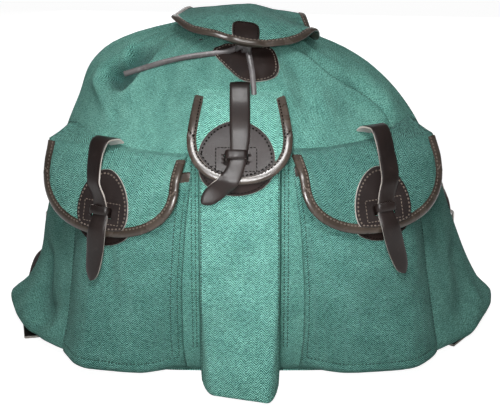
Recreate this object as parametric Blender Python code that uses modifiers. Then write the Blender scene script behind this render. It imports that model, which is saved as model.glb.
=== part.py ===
"""Canvas rucksack with three flapped pockets, a lid, leather straps and a drawcord.

+Z is up, the front faces -Y and the base rests on z = 0. The sack is one D-shaped form:
every pocket, flap, patch and strap takes its place from it.
"""

import math

import bmesh
import bpy
from mathutils import Vector

# Stock: canvas, leathers and the clearance between sewn pieces
CANVAS = 0.0014
PATCH_LEATHER = 0.0018
BINDING_LEATHER = 0.0009
STRAP_LEATHER = 0.0026
LOOP_LEATHER = 0.0016
GAP = 0.0004
SLOT_GAP = 0.0005
LID_SLOT_GAP = 0.00095

# Sack: height, left half width, right half width, front and side fullness of each level
BACK_Y = 0.0725
SACK_LEVELS = [
    (0.0018, 0.206, 0.210, -0.0690, 4.2),
    (0.0100, 0.248, 0.250, -0.0740, 4.2),
    (0.0330, 0.229, 0.235, -0.0790, 4.0),
    (0.0600, 0.215, 0.221, -0.0810, 3.7),
    (0.1000, 0.207, 0.205, -0.0800, 3.3),
    (0.1500, 0.194, 0.186, -0.0710, 3.2),
    (0.1950, 0.181, 0.168, -0.0550, 3.2),
    (0.2300, 0.166, 0.145, -0.0350, 3.2),
    (0.2580, 0.155, 0.117, -0.0170, 3.2),
    (0.2760, 0.138, 0.089, -0.0040, 3.2),
    (0.2860, 0.119, 0.066, 0.0050, 3.2),
    (0.2930, 0.098, 0.055, 0.0105, 3.2),
    (0.3000, 0.069, 0.051, 0.0135, 3.0),
]
FRONT_POWER = 1.35
SACK_COLUMNS = 28

# Edge binding, a folded strip: how far it covers the canvas
BINDING_COVER = 0.0075

# Pocket closures: strap, the loop that holds it, the slots round the loop
STRAP_WIDTH = 0.018
LOOP_WIDTH = 0.009
LOOP_SIDE_PLAY = 0.0014
SLOT_PLAY = 0.0022
ROOT_RISE = 0.007
FOLD_DROP = 0.018
MOUTH_DROP = 0.014
POCKET_EDGE = 0.016
SPLAY_HEIGHT = 0.085
PATCH_FOOT = 0.93

# Pockets: placing x and yaw, half width, bottom, flap fold, flap half width, flap drop and
# side, patch radii, how tall its upper half is, and centre, strap tip and sideways drift, fullness by
# height, and splay: how far the foot stands out more on one side than the other
POCKETS = {
    "left": dict(
        x=-0.114, yaw=-22.0, half=0.055, bottom=0.0045, fold=0.206, edge_low=0.6, foot=0.012, splay=-0.015,
        flap_u=-0.0165, flap_half=0.0685, flap_drop=0.066, flap_side=0.022,
        patch=0.026, patch_top=1.32, patch_u=-0.016, patch_w=0.1585, lower_patch=0.029, lower_drop=0.012,
        strap_tip=0.097,
        strap_u=[(0.0, -0.028), (0.3, -0.0315), (0.54, -0.0180), (0.667, -0.016), (0.8, -0.0165), (1.0, -0.0225)],
        full=[(0.0045, 0.020), (0.060, 0.017), (0.130, 0.015), (0.180, 0.012), (0.206, 0.006)],
    ),
    "centre": dict(
        x=-0.009, yaw=0.0, half=0.037, bottom=0.0035, fold=0.257, edge_low=0.9, foot=0.008, splay=0.012,
        flap_u=0.0, flap_half=0.045, flap_drop=0.063, flap_side=0.024,
        patch=0.034, patch_top=0.93, patch_u=-0.003, patch_w=0.211, lower_patch=0.033, lower_drop=0.013,
        strap_tip=0.177,
        strap_u=[(0.0, 0.000), (0.3, 0.000), (0.54, -0.002), (0.667, -0.003), (0.8, -0.0065), (1.0, -0.031)],
        full=[(0.0035, 0.069), (0.050, 0.041), (0.100, 0.027), (0.150, 0.022), (0.220, 0.018), (0.257, 0.006)],
    ),
    "right": dict(
        x=0.107, yaw=22.0, half=0.060, bottom=0.0045, fold=0.211, edge_low=0.6, foot=0.012, splay=0.018,
        flap_u=0.0083, flap_half=0.0698, flap_drop=0.066, flap_side=0.022,
        patch=0.028, patch_top=1.22, patch_u=0.010, patch_w=0.1625, lower_patch=0.031, lower_drop=0.011,
        strap_tip=0.104,
        strap_u=[(0.0, 0.019), (0.3, 0.0225), (0.54, 0.0125), (0.667, 0.010), (0.8, 0.013), (1.0, 0.026)],
        full=[(0.0045, 0.017), (0.060, 0.016), (0.130, 0.015), (0.185, 0.012), (0.211, 0.006)],
    ),
}

# Lid: half width, seam, its side profile as seen from the seam, corners, tilt and drooping sides
LID_HALF = 0.069
LID_X = -0.004
LID_SEAM_Z = 0.2985
LID_PROFILE = [
    (0.000, 0.000),
    (0.0012, 0.009),
    (-0.007, 0.0175),
    (-0.028, 0.0220),
    (-0.053, 0.0195),
    (-0.075, 0.0095),
    (-0.086, -0.0010),
]
LID_CORNER_LIFT = -0.008
LID_CORNER_BACK = 0.010
LID_CORNER_ROUND = 0.07
LID_TILT = 0.08
LID_DROOP = 0.019
LID_LEFT_DROOP = 0.006
LID_PATCH_HALF = 0.0155
LID_PATCH_LENGTH = 0.022

# Leather patch on the sack under the lid
FRONT_PATCH_X = -0.005
FRONT_PATCH_HALF = 0.030
FRONT_PATCH_LOW = 0.2695
FRONT_PATCH_HIGH = 0.2915

# Drawcord, a leather thong: the runs round the neck, the knot and the two free ends
CORD_RADIUS = 0.0021
NECK_RUN_Z = 0.2955
KNOT_X = -0.006
KNOT_Z = 0.2885
KNOT_RADIUS = 0.0062
LONG_END = [
    (-0.0160, 0.2880),
    (-0.0310, 0.2872),
    (-0.0480, 0.2852),
    (-0.0640, 0.2824),
    (-0.0780, 0.2795),
    (-0.0920, 0.2757),
    (-0.1050, 0.2708),
    (-0.1150, 0.2672),
]
SHORT_END = [
    (0.0040, 0.2805),
    (0.0062, 0.2740),
    (0.0068, 0.2680),
    (0.0068, 0.2612),
]

# Back: leather yoke, hanging loop, shoulder straps and their buckles
YOKE_HALF = 0.066
YOKE_HEIGHT = 0.040
YOKE_TOP = 0.2925
YOKE_X = -0.004
HANG_WIDTH = 0.018
HANG_DROP = 0.040
HANG_DEPTH = 0.015
SHOULDER_WIDTH = 0.034
SHOULDER_APART = 0.043
SHOULDER_STAND = 0.044
STRAP_END_WIDTH = 0.020
BUCKLE_X = 0.194
BUCKLE_Z = 0.078
BUCKLE_WIRE = 0.0015
BUCKLE_HEIGHT = 0.024
CHAPE_WIDTH = 0.020
TAIL_CORNER = 0.001
TAIL_OUT = {"left": 0.012, "right": -0.004}
TAIL_ENDS = {"left": -0.005, "right": -0.018}
TAIL_BOW = {"left": 0.215, "right": 0.206}

SEAM_Y = BACK_Y - CANVAS - GAP
EDGE_HALF = CANVAS / 2 + SLOT_GAP + BINDING_LEATHER
STAND = CANVAS + GAP + PATCH_LEATHER + GAP + EDGE_HALF
ON_FLAP = CANVAS / 2 + GAP + 0.0005
BASE_TOP = CANVAS
SACK_FOOT = BASE_TOP + GAP

COLOURS = {
    "canvas": (0.16, 0.38, 0.33, 1.0),
    "leather": (0.035, 0.022, 0.017, 1.0),
    "binding": (0.09, 0.068, 0.06, 1.0),
    "steel": (0.55, 0.55, 0.53, 1.0),
    "thong": (0.13, 0.10, 0.085, 1.0),
}

for old in list(bpy.data.objects):
    bpy.data.objects.remove(old, do_unlink=True)

PARTS = bpy.data.collections.new("Rucksack")
CUTTERS = bpy.data.collections.new("Cutters")
bpy.context.scene.collection.children.link(PARTS)
bpy.context.scene.collection.children.link(CUTTERS)


def finish(obj, stuff, parent=None):
    """Link a part, give it its own material and hang it on its parent."""
    PARTS.objects.link(obj)
    material = bpy.data.materials.new(obj.name)
    material.use_nodes = True
    shader = material.node_tree.nodes["Principled BSDF"]
    shader.inputs["Base Color"].default_value = COLOURS[stuff]
    shader.inputs["Roughness"].default_value = 0.35 if stuff == "steel" else 0.7
    shader.inputs["Metallic"].default_value = 1.0 if stuff == "steel" else 0.0
    obj.data.materials.append(material)
    obj.parent = parent
    return obj


def axis_point(name, place, parent=None, turn=0.0):
    """Empty that a frame or a joint's axis stands on."""
    empty = bpy.data.objects.new(name, None)
    empty.empty_display_size = 0.02
    empty.location = place
    empty.rotation_euler = (0.0, 0.0, turn)
    empty.parent = parent
    PARTS.objects.link(empty)
    return empty


def solidify(obj, thickness, side):
    modifier = obj.modifiers.new("Thickness", "SOLIDIFY")
    modifier.thickness = thickness
    modifier.offset = side


def sheet(name, rows, thickness, side, stuff, parent=None, origin=(0.0, 0.0, 0.0)):
    """Open grid of points, given rows from bottom to top, made a sheet of one thickness."""
    build = bmesh.new()
    start = Vector(origin)
    grid = [[build.verts.new(Vector(point) - start) for point in row] for row in rows]
    for low, high in zip(grid, grid[1:]):
        for i in range(len(low) - 1):
            build.faces.new((low[i], low[i + 1], high[i + 1], high[i]))
    mesh = bpy.data.meshes.new(name)
    build.to_mesh(mesh)
    build.free()
    obj = bpy.data.objects.new(name, mesh)
    solidify(obj, thickness, side)
    return finish(obj, stuff, parent)


def disc(name, outline, place, thickness, stuff, parent=None, origin=(0.0, 0.0, 0.0), rings=3, count=20):
    """Rounded patch: rings inside an outline of (across, up), laid on a surface by place()."""
    build = bmesh.new()
    start = Vector(origin)
    centre = build.verts.new(Vector(place(*outline(0.0, 0.0))) - start)
    inner = None
    for ring in range(1, rings + 1):
        turn = [2 * math.pi * k / count for k in range(count)]
        loop = [build.verts.new(Vector(place(*outline(a, ring / rings))) - start) for a in turn]
        for k in range(count):
            if inner is None:
                build.faces.new((centre, loop[k], loop[(k + 1) % count]))
            else:
                build.faces.new((inner[k], loop[k], loop[(k + 1) % count], inner[(k + 1) % count]))
        inner = loop
    mesh = bpy.data.meshes.new(name)
    build.to_mesh(mesh)
    build.free()
    obj = bpy.data.objects.new(name, mesh)
    solidify(obj, thickness, 1.0)
    return finish(obj, stuff, parent)


def plate(name, outline, thickness, stuff, place, turn=(0.0, 0.0, 0.0)):
    """Flat outline given its thickness as a filled 2D curve."""
    curve = bpy.data.curves.new(name, "CURVE")
    curve.dimensions = "2D"
    curve.fill_mode = "BOTH"
    curve.extrude = thickness / 2
    spline = curve.splines.new("POLY")
    spline.points.add(len(outline) - 1)
    for point, (x, y) in zip(spline.points, outline):
        point.co = (x, y, 0.0, 1.0)
    spline.use_cyclic_u = True
    obj = bpy.data.objects.new(name, curve)
    obj.location = place
    obj.rotation_euler = turn
    return finish(obj, stuff)


def tube(name, points, radius, stuff, parent=None, origin=(0.0, 0.0, 0.0), sides=1):
    """Round cord or wire along points."""
    curve = bpy.data.curves.new(name, "CURVE")
    curve.dimensions = "3D"
    curve.bevel_depth = radius
    curve.bevel_resolution = sides
    curve.use_fill_caps = True
    spline = curve.splines.new("POLY")
    spline.points.add(len(points) - 1)
    for point, place in zip(spline.points, points):
        point.co = (*(Vector(place) - Vector(origin)), 1.0)
    return finish(bpy.data.objects.new(name, curve), stuff, parent)


def channel(name, stations, parent=None, origin=(0.0, 0.0, 0.0), play=SLOT_GAP):
    """Folded binding: a U section carried along an edge, with the canvas in its slot.

    Each station is the canvas edge, the way into the canvas, the way off its face and the
    place on the canvas where the cover ends."""
    slot = CANVAS / 2 + play
    wall = slot + BINDING_LEATHER
    fold = GAP + BINDING_LEATHER
    section = [
        (-fold, wall), (None, wall), (None, slot), (-GAP, slot),
        (-GAP, -slot), (None, -slot), (None, -wall), (-fold, -wall),
    ]
    build = bmesh.new()
    start = Vector(origin)
    loops = []
    for edge, inward, off, cover in stations:
        loop = []
        for a, h in section:
            place = Vector(cover) if a is None else Vector(edge) + Vector(inward) * a
            loop.append(build.verts.new(place + Vector(off) * h - start))
        loops.append(loop)
    count = len(section)
    for one, two in zip(loops, loops[1:]):
        for k in range(count):
            build.faces.new((one[k], two[k], two[(k + 1) % count], one[(k + 1) % count]))
    build.faces.new(loops[0])
    build.faces.new(list(reversed(loops[-1])))
    bmesh.ops.recalc_face_normals(build, faces=build.faces)
    mesh = bpy.data.meshes.new(name)
    build.to_mesh(mesh)
    build.free()
    return finish(bpy.data.objects.new(name, mesh), "binding", parent)


def cut_box(obj, name, size, place, turn=(0.0, 0.0, 0.0), parent=None):
    """Cut a box-shaped slot out of a part."""
    bpy.ops.mesh.primitive_cube_add(size=1.0)
    cutter = bpy.context.object
    for holder in list(cutter.users_collection):
        holder.objects.unlink(cutter)
    CUTTERS.objects.link(cutter)
    cutter.name = name
    cutter.scale = size
    cutter.location = place
    cutter.rotation_euler = turn
    cutter.parent = parent
    cutter.hide_render = True
    cutter.display_type = "WIRE"
    modifier = obj.modifiers.new(name, "BOOLEAN")
    modifier.operation = "DIFFERENCE"
    modifier.object = cutter
    modifier.solver = "EXACT"


def smooth(table, at, column=1):
    """Value of a table's column at a place along its first column, on a cubic through the rows."""
    if at <= table[0][0]:
        return table[0][column]
    if at >= table[-1][0]:
        return table[-1][column]
    k = next(i for i in range(len(table) - 1) if at <= table[i + 1][0])

    def slope(i):
        before = table[max(i - 1, 0)]
        after = table[min(i + 1, len(table) - 1)]
        return (after[column] - before[column]) / (after[0] - before[0])

    low, high = table[k], table[k + 1]
    span = high[0] - low[0]
    t = (at - low[0]) / span
    return (
        (2 * t**3 - 3 * t**2 + 1) * low[column]
        + (t**3 - 2 * t**2 + t) * slope(k) * span
        + (-2 * t**3 + 3 * t**2) * high[column]
        + (t**3 - t**2) * slope(k + 1) * span
    )


def curve_through(points, steps):
    """Points on a smooth curve through the given ones."""
    table = [(float(k), *point) for k, point in enumerate(points)]
    last = len(points) - 1
    at = [last * k / (steps - 1) for k in range(steps)]
    return [Vector([smooth(table, s, c) for c in range(1, len(table[0]))]) for s in at]


def rise(part):
    """Quarter-round rise from 0 to 1."""
    part = min(max(part, 0.0), 1.0)
    return math.sqrt(1.0 - (1.0 - part) ** 2)


def sack_form(place):
    """Below 0 inside the sack's outer form, above 0 outside."""
    x, y, z = place
    half = smooth(SACK_LEVELS, z, 1 if x < 0 else 2)
    depth = SEAM_Y - smooth(SACK_LEVELS, z, 3)
    return (abs(x) / half) ** smooth(SACK_LEVELS, z, 4) + (max(SEAM_Y - y, 0.0) / depth) ** FRONT_POWER - 1.0


def meet_sack(start, way, reach=0.22, step=0.004):
    """Where a line from outside the sack first meets it."""
    start, way = Vector(start), Vector(way).normalized()
    far = 0.0
    while far < reach and sack_form(start + way * far) > 0.0:
        far += step
    near = max(far - step, 0.0)
    for _ in range(26):
        middle = (near + far) / 2
        if sack_form(start + way * middle) > 0.0:
            near = middle
        else:
            far = middle
    return start + way * near


def sack_normal(place):
    probe = 0.0006
    slopes = []
    for k in range(3):
        step = Vector((0.0, 0.0, 0.0))
        step[k] = probe
        slopes.append(sack_form(Vector(place) + step) - sack_form(Vector(place) - step))
    return Vector(slopes).normalized()


def on_sack(x, z, off=0.0):
    """Point of the sack's front at x and z, stood off along its normal."""
    place = meet_sack((x, -0.16, z), (0.0, 1.0, 0.0))
    return place + sack_normal(place) * off


def section(z, count):
    """Evenly spaced points round the sack's front at one height, left seam to right seam."""
    left, right = smooth(SACK_LEVELS, z, 1), smooth(SACK_LEVELS, z, 2)
    depth = SEAM_Y - smooth(SACK_LEVELS, z, 3)
    dense = []
    for k in range(401):
        angle = math.pi * k / 400
        across = -math.copysign(abs(math.cos(angle)) ** (2 / smooth(SACK_LEVELS, z, 4)), math.cos(angle))
        forward = max(math.sin(angle), 0.0) ** (2 / FRONT_POWER)
        dense.append(Vector((across * (left if across < 0 else right), SEAM_Y - forward * depth, z)))
    run = [0.0]
    for one, two in zip(dense, dense[1:]):
        run.append(run[-1] + (two - one).length)
    points = []
    k = 0
    for i in range(count + 1):
        want = run[-1] * i / count
        while k < len(run) - 2 and run[k + 1] < want:
            k += 1
        part = (want - run[k]) / max(run[k + 1] - run[k], 1e-12)
        points.append(dense[k].lerp(dense[k + 1], min(part, 1.0)))
    return points


# Front panel: the canvas wrap of the front and both sides, from the foot to the gathered neck
levels = [SACK_FOOT]
for low, high in zip(SACK_LEVELS, SACK_LEVELS[1:]):
    if high[0] - low[0] > 0.036:
        levels.append((low[0] + high[0]) / 2)
    levels.append(high[0])
sheet("front_panel", [section(z, SACK_COLUMNS) for z in levels], CANVAS, -1.0, "canvas")

# Back panel: flat, sewn to the wrap along both side seams
outline = [(-smooth(SACK_LEVELS, z, 1), z) for z in levels]
outline += [(smooth(SACK_LEVELS, z, 2), z) for z in reversed(levels)]
plate("back_panel", outline, CANVAS, "canvas", (0.0, BACK_Y - CANVAS / 2, 0.0), (math.pi / 2, 0.0, 0.0))

# Base panel: the flat bottom that the rucksack stands on
outline = [(p.x, p.y) for p in section(SACK_FOOT, SACK_COLUMNS)]
plate("base_panel", outline, CANVAS, "canvas", (0.0, 0.0, CANVAS / 2))


class Pocket:
    """Frame and surfaces of one pocket: u across, n outwards, w up."""

    def __init__(self, side, size):
        self.side = side
        self.size = size
        self.turn = math.radians(size["yaw"])
        self.across = Vector((math.cos(self.turn), math.sin(self.turn), 0.0))
        self.out = Vector((math.sin(self.turn), -math.cos(self.turn), 0.0))
        middle = (size["bottom"] + size["fold"]) / 2
        self.place = on_sack(size["x"], middle)
        self.place.z = 0.0
        self.fold = size["fold"]
        self.faces = {}
        self.mouth = size["fold"] - MOUTH_DROP
        self.fold_out = self.crest(self.fold, size["flap_half"]) + GAP + EDGE_HALF
        self.frame = axis_point(side + "_pocket_frame", self.place, turn=self.turn)

    def local(self, u, n, w):
        return Vector((u, -n, w))

    def sack(self, u, w):
        """Sack's surface in this frame."""
        start = self.place + self.across * u + self.out * 0.13 + Vector((0.0, 0.0, w))
        return (meet_sack(start, -self.out) - self.place).dot(self.out)

    def edge(self, w):
        """Rounding of the pocket's sides, larger towards its foot."""
        return POCKET_EDGE * (1.0 + self.size["edge_low"] * max(1.0 - w / 0.10, 0.0))

    def crest(self, w, half):
        """Furthest that the sack stands out across a width at one height."""
        return max(self.sack(half * k / 6, w) for k in range(-6, 7))

    def face(self, w):
        """Inside of the pocket's front."""
        if w not in self.faces:
            self.faces[w] = self.crest(w, self.size["half"] * 0.7) + smooth(self.size["full"], w)
        return self.faces[w]

    def body(self, u, w):
        size = self.size
        base = self.sack(u, w) + GAP * 2.5
        part = rise((size["half"] - abs(u)) / self.edge(w)) * rise((w - size["bottom"]) / size["foot"])
        splay = size["splay"] * u / size["half"] * max(1.0 - w / SPLAY_HEIGHT, 0.0)
        return base + max(self.face(w) + splay - base, 0.0) * part

    def lifted(self, profile, w, off):
        """Profile stood off by a true distance."""
        slope = (profile(w + 0.0015) - profile(w - 0.0015)) / 0.003
        return profile(w) + off * math.sqrt(1.0 + slope * slope)

    def flap(self, w):
        """Middle of the flap: from the fold round the pocket's mouth, then down its front."""
        hung = self.lifted(self.face, min(w, self.mouth), STAND)
        if w > self.mouth:
            hung += self.face(w) - self.face(self.mouth)
        return self.fold_out + (hung - self.fold_out) * rise((self.fold - w) / FOLD_DROP)

    def flap_low(self, u):
        size = self.size
        part = min(abs(u - size["flap_u"]) / size["flap_half"], 0.996)
        reach = size["flap_drop"] - size["flap_side"]
        return self.fold - size["flap_side"] - reach * (1.0 - part**2.3) ** (1 / 2.3)

    def slope_frame(self, profile, w):
        """Outward normal and downward tangent of a profile, in the pocket's frame."""
        slope = (profile(w + 0.0015) - profile(w - 0.0015)) / 0.003
        normal = Vector((0.0, -1.0, -slope)).normalized()
        return normal, Vector((0.0, slope, -1.0)).normalized()


def spread(half, count):
    """Places across a width, closer together near its edges."""
    return [half * math.sin(math.pi / 2 * (2 * k / count - 1)) for k in range(count + 1)]


def inside_binding(pocket, u, w, margin):
    """Whether a place on the flap is clear of its binding."""
    away = math.copysign(margin * 0.8, u - pocket.size["flap_u"])
    return w > pocket.flap_low(u + away) + margin


def build_pocket(side, size):
    pocket = Pocket(side, size)
    frame = pocket.frame
    local = pocket.local

    # Pocket body: a dished canvas front, open at the top, its rim sewn to the sack
    bottom, mouth = size["bottom"], pocket.mouth
    foot = bottom + size["foot"]
    heights = [bottom + size["foot"] * part for part in (0.0, 0.08, 0.3, 0.62)]
    heights += [foot + (mouth - BINDING_COVER - 0.004 - foot) * k / 6 for k in range(7)] + [mouth]
    rows = []
    for w in heights:
        inset = [pocket.edge(w) * part for part in (0.0, 0.08, 0.3, 0.62, 1.0)]
        places = [-size["half"] + a for a in inset] + [0.0] + [size["half"] - a for a in reversed(inset)]
        rows.append([local(u, pocket.body(u, w), w) for u in places])
    sheet(side + "_pocket", rows, CANVAS, 1.0, "canvas", frame)

    # Mouth binding along the flat part of the pocket's top edge
    normal, down = pocket.slope_frame(pocket.face, mouth)
    flat = size["half"] - POCKET_EDGE
    stations = []
    for u in (-flat, 0.0, flat):
        top = local(u, pocket.face(mouth), mouth) + normal * (CANVAS / 2)
        stations.append((top, down, normal, top + down * BINDING_COVER))
    channel(side + "_mouth_binding", stations, frame)

    # Lower patch on the pocket, with the loop that comes up through the flap
    centre_u, centre_w = size["patch_u"], size["patch_w"]
    low = pocket.fold - size["flap_drop"] - size["lower_drop"]
    reach = (centre_w + 0.012 - low) / 2

    def lower_outline(angle, part):
        return (
            centre_u + size["lower_patch"] * part * math.cos(angle),
            low + reach + reach * part * math.sin(angle),
        )

    def on_pocket(u, w):
        return local(u, pocket.lifted(pocket.face, w, CANVAS + GAP), w)

    disc(side + "_pocket_patch", lower_outline, on_pocket, PATCH_LEATHER, "leather", frame)

    # Flap: canvas hung from the fold, its hinge line along the fold
    hinge_place = local(size["flap_u"], pocket.fold_out, pocket.fold)
    hinge = axis_point(side + "_flap_hinge", hinge_place, frame)
    across = [size["flap_u"] + u for u in spread(size["flap_half"], 12)]
    folded = [pocket.fold - size["flap_side"] * part for part in (0.0, 0.06, 0.2, 0.4, 0.66, 1.0)]
    flap_rows = [[(u, w) for u in across] for w in folded]
    for step in (0.4, 0.75, 1.0):
        flap_rows.append([(u, folded[-1] + (pocket.flap_low(u) - folded[-1]) * step) for u in across])
    rows = [[local(u, pocket.flap(w), w) for u, w in row] for row in reversed(flap_rows)]
    flap = sheet(side + "_flap", rows, CANVAS, 0.0, "canvas", hinge, hinge_place)

    # Flap binding round its free edge
    edge = [row[0] for row in flap_rows] + flap_rows[-1][1:-1] + [row[-1] for row in reversed(flap_rows)]
    stations = []
    for k, (u, w) in enumerate(edge):
        ends = [edge[max(k - 1, 0)], edge[min(k + 1, len(edge) - 1)]]
        before, after = (local(a, pocket.flap(b), b) for a, b in ends)
        normal, down = pocket.slope_frame(pocket.flap, min(w, pocket.fold - 0.002))
        inward = normal.cross(after - before).normalized()
        here = local(u, pocket.flap(w), w)
        reach = here + inward * BINDING_COVER
        stations.append((here, inward, normal, local(reach.x, pocket.flap(reach.z), reach.z)))
    channel(side + "_flap_binding", stations, hinge, hinge_place)

    # Round patch on the flap
    def upper_outline(angle, part):
        tall = size["patch_top"] if math.sin(angle) > 0 else PATCH_FOOT
        u, w = size["patch"] * math.cos(angle), size["patch"] * tall * math.sin(angle)
        reach = 1.0
        while not inside_binding(pocket, centre_u + u * reach, centre_w + w * reach, BINDING_COVER + 0.0012):
            reach -= 0.01
        return centre_u + u * reach * part, centre_w + w * reach * part

    def on_flap(u, w):
        return local(u, pocket.lifted(pocket.flap, w, ON_FLAP), w)

    patch = disc(side + "_flap_patch", upper_outline, on_flap, PATCH_LEATHER, "leather", hinge, hinge_place)

    # Loop: legs on the lower patch, up through the slot, over the strap
    normal, down = pocket.slope_frame(pocket.flap, centre_w)
    foot = local(centre_u, pocket.lifted(pocket.face, centre_w, CANVAS + GAP + PATCH_LEATHER), centre_w)
    inner = STRAP_WIDTH / 2 + LOOP_SIDE_PLAY
    leg = inner + LOOP_LEATHER / 2
    top = (
        STAND - CANVAS - GAP - PATCH_LEATHER + ON_FLAP + PATCH_LEATHER
        + GAP + STRAP_LEATHER + GAP * 3 + LOOP_LEATHER / 2
    )
    corner = 0.0030
    arch = [(-leg, GAP + 0.0006), (-leg, (top - corner) * 0.55)]
    for k in range(5):
        angle = math.pi / 2 * k / 4
        arch.append((-leg + corner * (1 - math.cos(angle)), top - corner * (1 - math.sin(angle))))
    arch += [(-a, h) for a, h in reversed(arch)]
    rows = []
    for a, h in arch:
        middle = foot + Vector((a, 0.0, 0.0)) + normal * h
        rows.append([middle + down * (LOOP_WIDTH / 2), middle - down * (LOOP_WIDTH / 2)])
    sheet(side + "_loop", rows, LOOP_LEATHER, 0.0, "leather", frame)

    # Slots round the loop, through the flap and its patch
    lean = math.atan2(down.y, -down.z)
    size_of_slot = (2 * (leg + LOOP_LEATHER / 2 + SLOT_PLAY), 0.03, LOOP_WIDTH + 2 * SLOT_PLAY)
    slot_place = local(centre_u, pocket.flap(centre_w), centre_w) - hinge_place
    for part, label in ((flap, "_flap_slot"), (patch, "_patch_slot")):
        cut_box(part, side + label, size_of_slot, slot_place, (lean, 0.0, 0.0), hinge)

    # Strap: sewn to the sack above the fold, arched over the flap, through the loop to its tip
    root_w = pocket.fold + ROOT_RISE
    root_u = size["strap_u"][0][1]
    root_n = max(pocket.sack(root_u + STRAP_WIDTH / 2 * k / 3, root_w) for k in range(-3, 4))
    root_n += GAP + STRAP_LEATHER / 2 + 0.0004
    lies = ON_FLAP + PATCH_LEATHER + GAP + 0.0002 + STRAP_LEATHER / 2

    def over(w, more):
        return pocket.lifted(pocket.flap, min(w, pocket.fold - 0.004), lies + more)

    tip_w = size["strap_tip"]
    path = [
        (root_n, root_w),
        (root_n + 0.0070, root_w + 0.0050),
        (root_n + 0.0145, root_w + 0.0068),
        (over(pocket.fold - 0.007, 0.0080), pocket.fold - 0.0035),
        (over(pocket.fold - 0.021, 0.0060), pocket.fold - 0.021),
        (over(centre_w + 0.013, 0.0012), centre_w + 0.013),
        (over(centre_w, 0.0), centre_w),
        (over(centre_w - 0.013, 0.0006), centre_w - 0.013),
        (over((centre_w + tip_w) / 2 - 0.006, 0.0030), (centre_w + tip_w) / 2 - 0.006),
        (over(tip_w, 0.0045), tip_w),
    ]
    swing_place = local(root_u, root_n, root_w)
    swing = axis_point(side + "_strap_hinge", swing_place, frame)
    line = curve_through(path, 28)
    rows = []
    for k, (n, w) in enumerate(line):
        share = k / (len(line) - 1)
        u = smooth(size["strap_u"], share)
        left_over = min((len(line) - 1 - k) / 2.2, 1.0)
        wide = STRAP_WIDTH / 2 * (0.35 + 0.65 * rise(left_over))
        before, after = line[max(k - 1, 0)], line[min(k + 1, len(line) - 1)]
        slip = smooth(size["strap_u"], min(share + 0.03, 1.0)) - smooth(size["strap_u"], max(share - 0.03, 0.0))
        run = Vector((slip, -(after[0] - before[0]), after[1] - before[1])).normalized()
        side_way = Vector((1.0, 0.0, 0.0))
        side_way = (side_way - run * side_way.dot(run)).normalized()
        middle = local(u, n, w)
        rows.append([middle - side_way * wide, middle + side_way * wide])
    sheet(side + "_strap", list(reversed(rows)), STRAP_LEATHER, 0.0, "leather", swing, swing_place)
    return pocket


pockets = {side: build_pocket(side, size) for side, size in POCKETS.items()}

# Lid: canvas hung from a seam across the back, over the mouth
lid_seam = Vector((LID_X, BACK_Y + GAP + EDGE_HALF + LID_SLOT_GAP - SLOT_GAP, LID_SEAM_Z))
lid_hinge = axis_point("lid_hinge", lid_seam)
lid_run = curve_through(LID_PROFILE, 40)
lid_arc = [0.0]
for one, two in zip(lid_run, lid_run[1:]):
    lid_arc.append(lid_arc[-1] + (two - one).length)
LID_LENGTH = lid_arc[-1]
lid_table = [(arc, point.x, point.y) for arc, point in zip(lid_arc, lid_run)]


def lid_point(x, arc):
    """Point of the lid's middle surface: x from its centre, arc from its seam."""
    across = x / LID_HALF
    down = arc / LID_LENGTH
    y = smooth(lid_table, arc, 1) + LID_CORNER_BACK * across**2 * down**2
    z = smooth(lid_table, arc, 2) + LID_CORNER_LIFT * across**2 * down**1.5 - LID_TILT * x * down
    droop = LID_DROOP if across > 0 else LID_LEFT_DROOP
    z -= droop * abs(across) ** 1.7 * math.sin(math.pi * min(down / 0.8, 1.0)) ** 2
    return lid_seam + Vector((x, y, z))


def lid_normal(x, arc):
    step = 0.001
    along_x = lid_point(x + step, arc) - lid_point(x - step, arc)
    along_arc = lid_point(x, arc + step) - lid_point(x, max(arc - step, 0.0))
    return along_arc.cross(along_x).normalized()


def lid_half(arc):
    part = min(arc / LID_LENGTH / 0.7, 1.0)
    return LID_HALF * (0.78 + 0.22 * part * part * (3.0 - 2.0 * part))


def lid_front(part):
    """Arc length of the lid's front edge across its width."""
    return LID_LENGTH * (1.0 - 0.30 * abs(part) ** 3.2)


columns = [math.sin(math.pi / 2 * (-1.0 + 2.0 * k / 14)) for k in range(15)]
straight = [LID_LENGTH * part for part in (0.0, 0.04, 0.08, 0.12, 0.16, 0.2, 0.245, 0.29, 0.34, 0.39, 0.445, 0.5)]
lid_rows = [[(c * lid_half(arc), arc) for c in columns] for arc in straight]
for step in (0.27, 0.54, 0.8, 1.0):
    arcs = [straight[-1] + (lid_front(c) - straight[-1]) * step for c in columns]
    drawn_in = [1.0 - LID_CORNER_ROUND * step**2 * abs(c) ** 3 for c in columns]
    lid_rows.append([(c * r * lid_half(arc), arc) for c, r, arc in zip(columns, drawn_in, arcs)])
rows = [[lid_point(x, arc) for x, arc in row] for row in reversed(lid_rows)]
sheet("lid", rows, CANVAS, 0.0, "canvas", lid_hinge, lid_seam)

# Lid binding, down one side, along the front and up the other side
edge = [row[0] for row in lid_rows] + lid_rows[-1][1:-1] + [row[-1] for row in reversed(lid_rows)]
stations = []
for k, (x, arc) in enumerate(edge):
    before, after = edge[max(k - 1, 0)], edge[min(k + 1, len(edge) - 1)]
    along = lid_point(*after) - lid_point(*before)
    normal = lid_normal(x, max(arc, 0.002))
    inward = normal.cross(along).normalized()
    across_way = (lid_point(x + 0.001, arc) - lid_point(x - 0.001, arc)).normalized()
    arc_way = across_way.cross(normal)
    if arc <= straight[-1]:
        cover = (x - math.copysign(BINDING_COVER, x), arc)
    else:
        cover = (x + inward.dot(across_way) * BINDING_COVER, arc + inward.dot(arc_way) * BINDING_COVER)
    stations.append((lid_point(x, arc), inward, normal, lid_point(*cover)))
channel("lid_binding", stations, lid_hinge, lid_seam, LID_SLOT_GAP)


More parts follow.
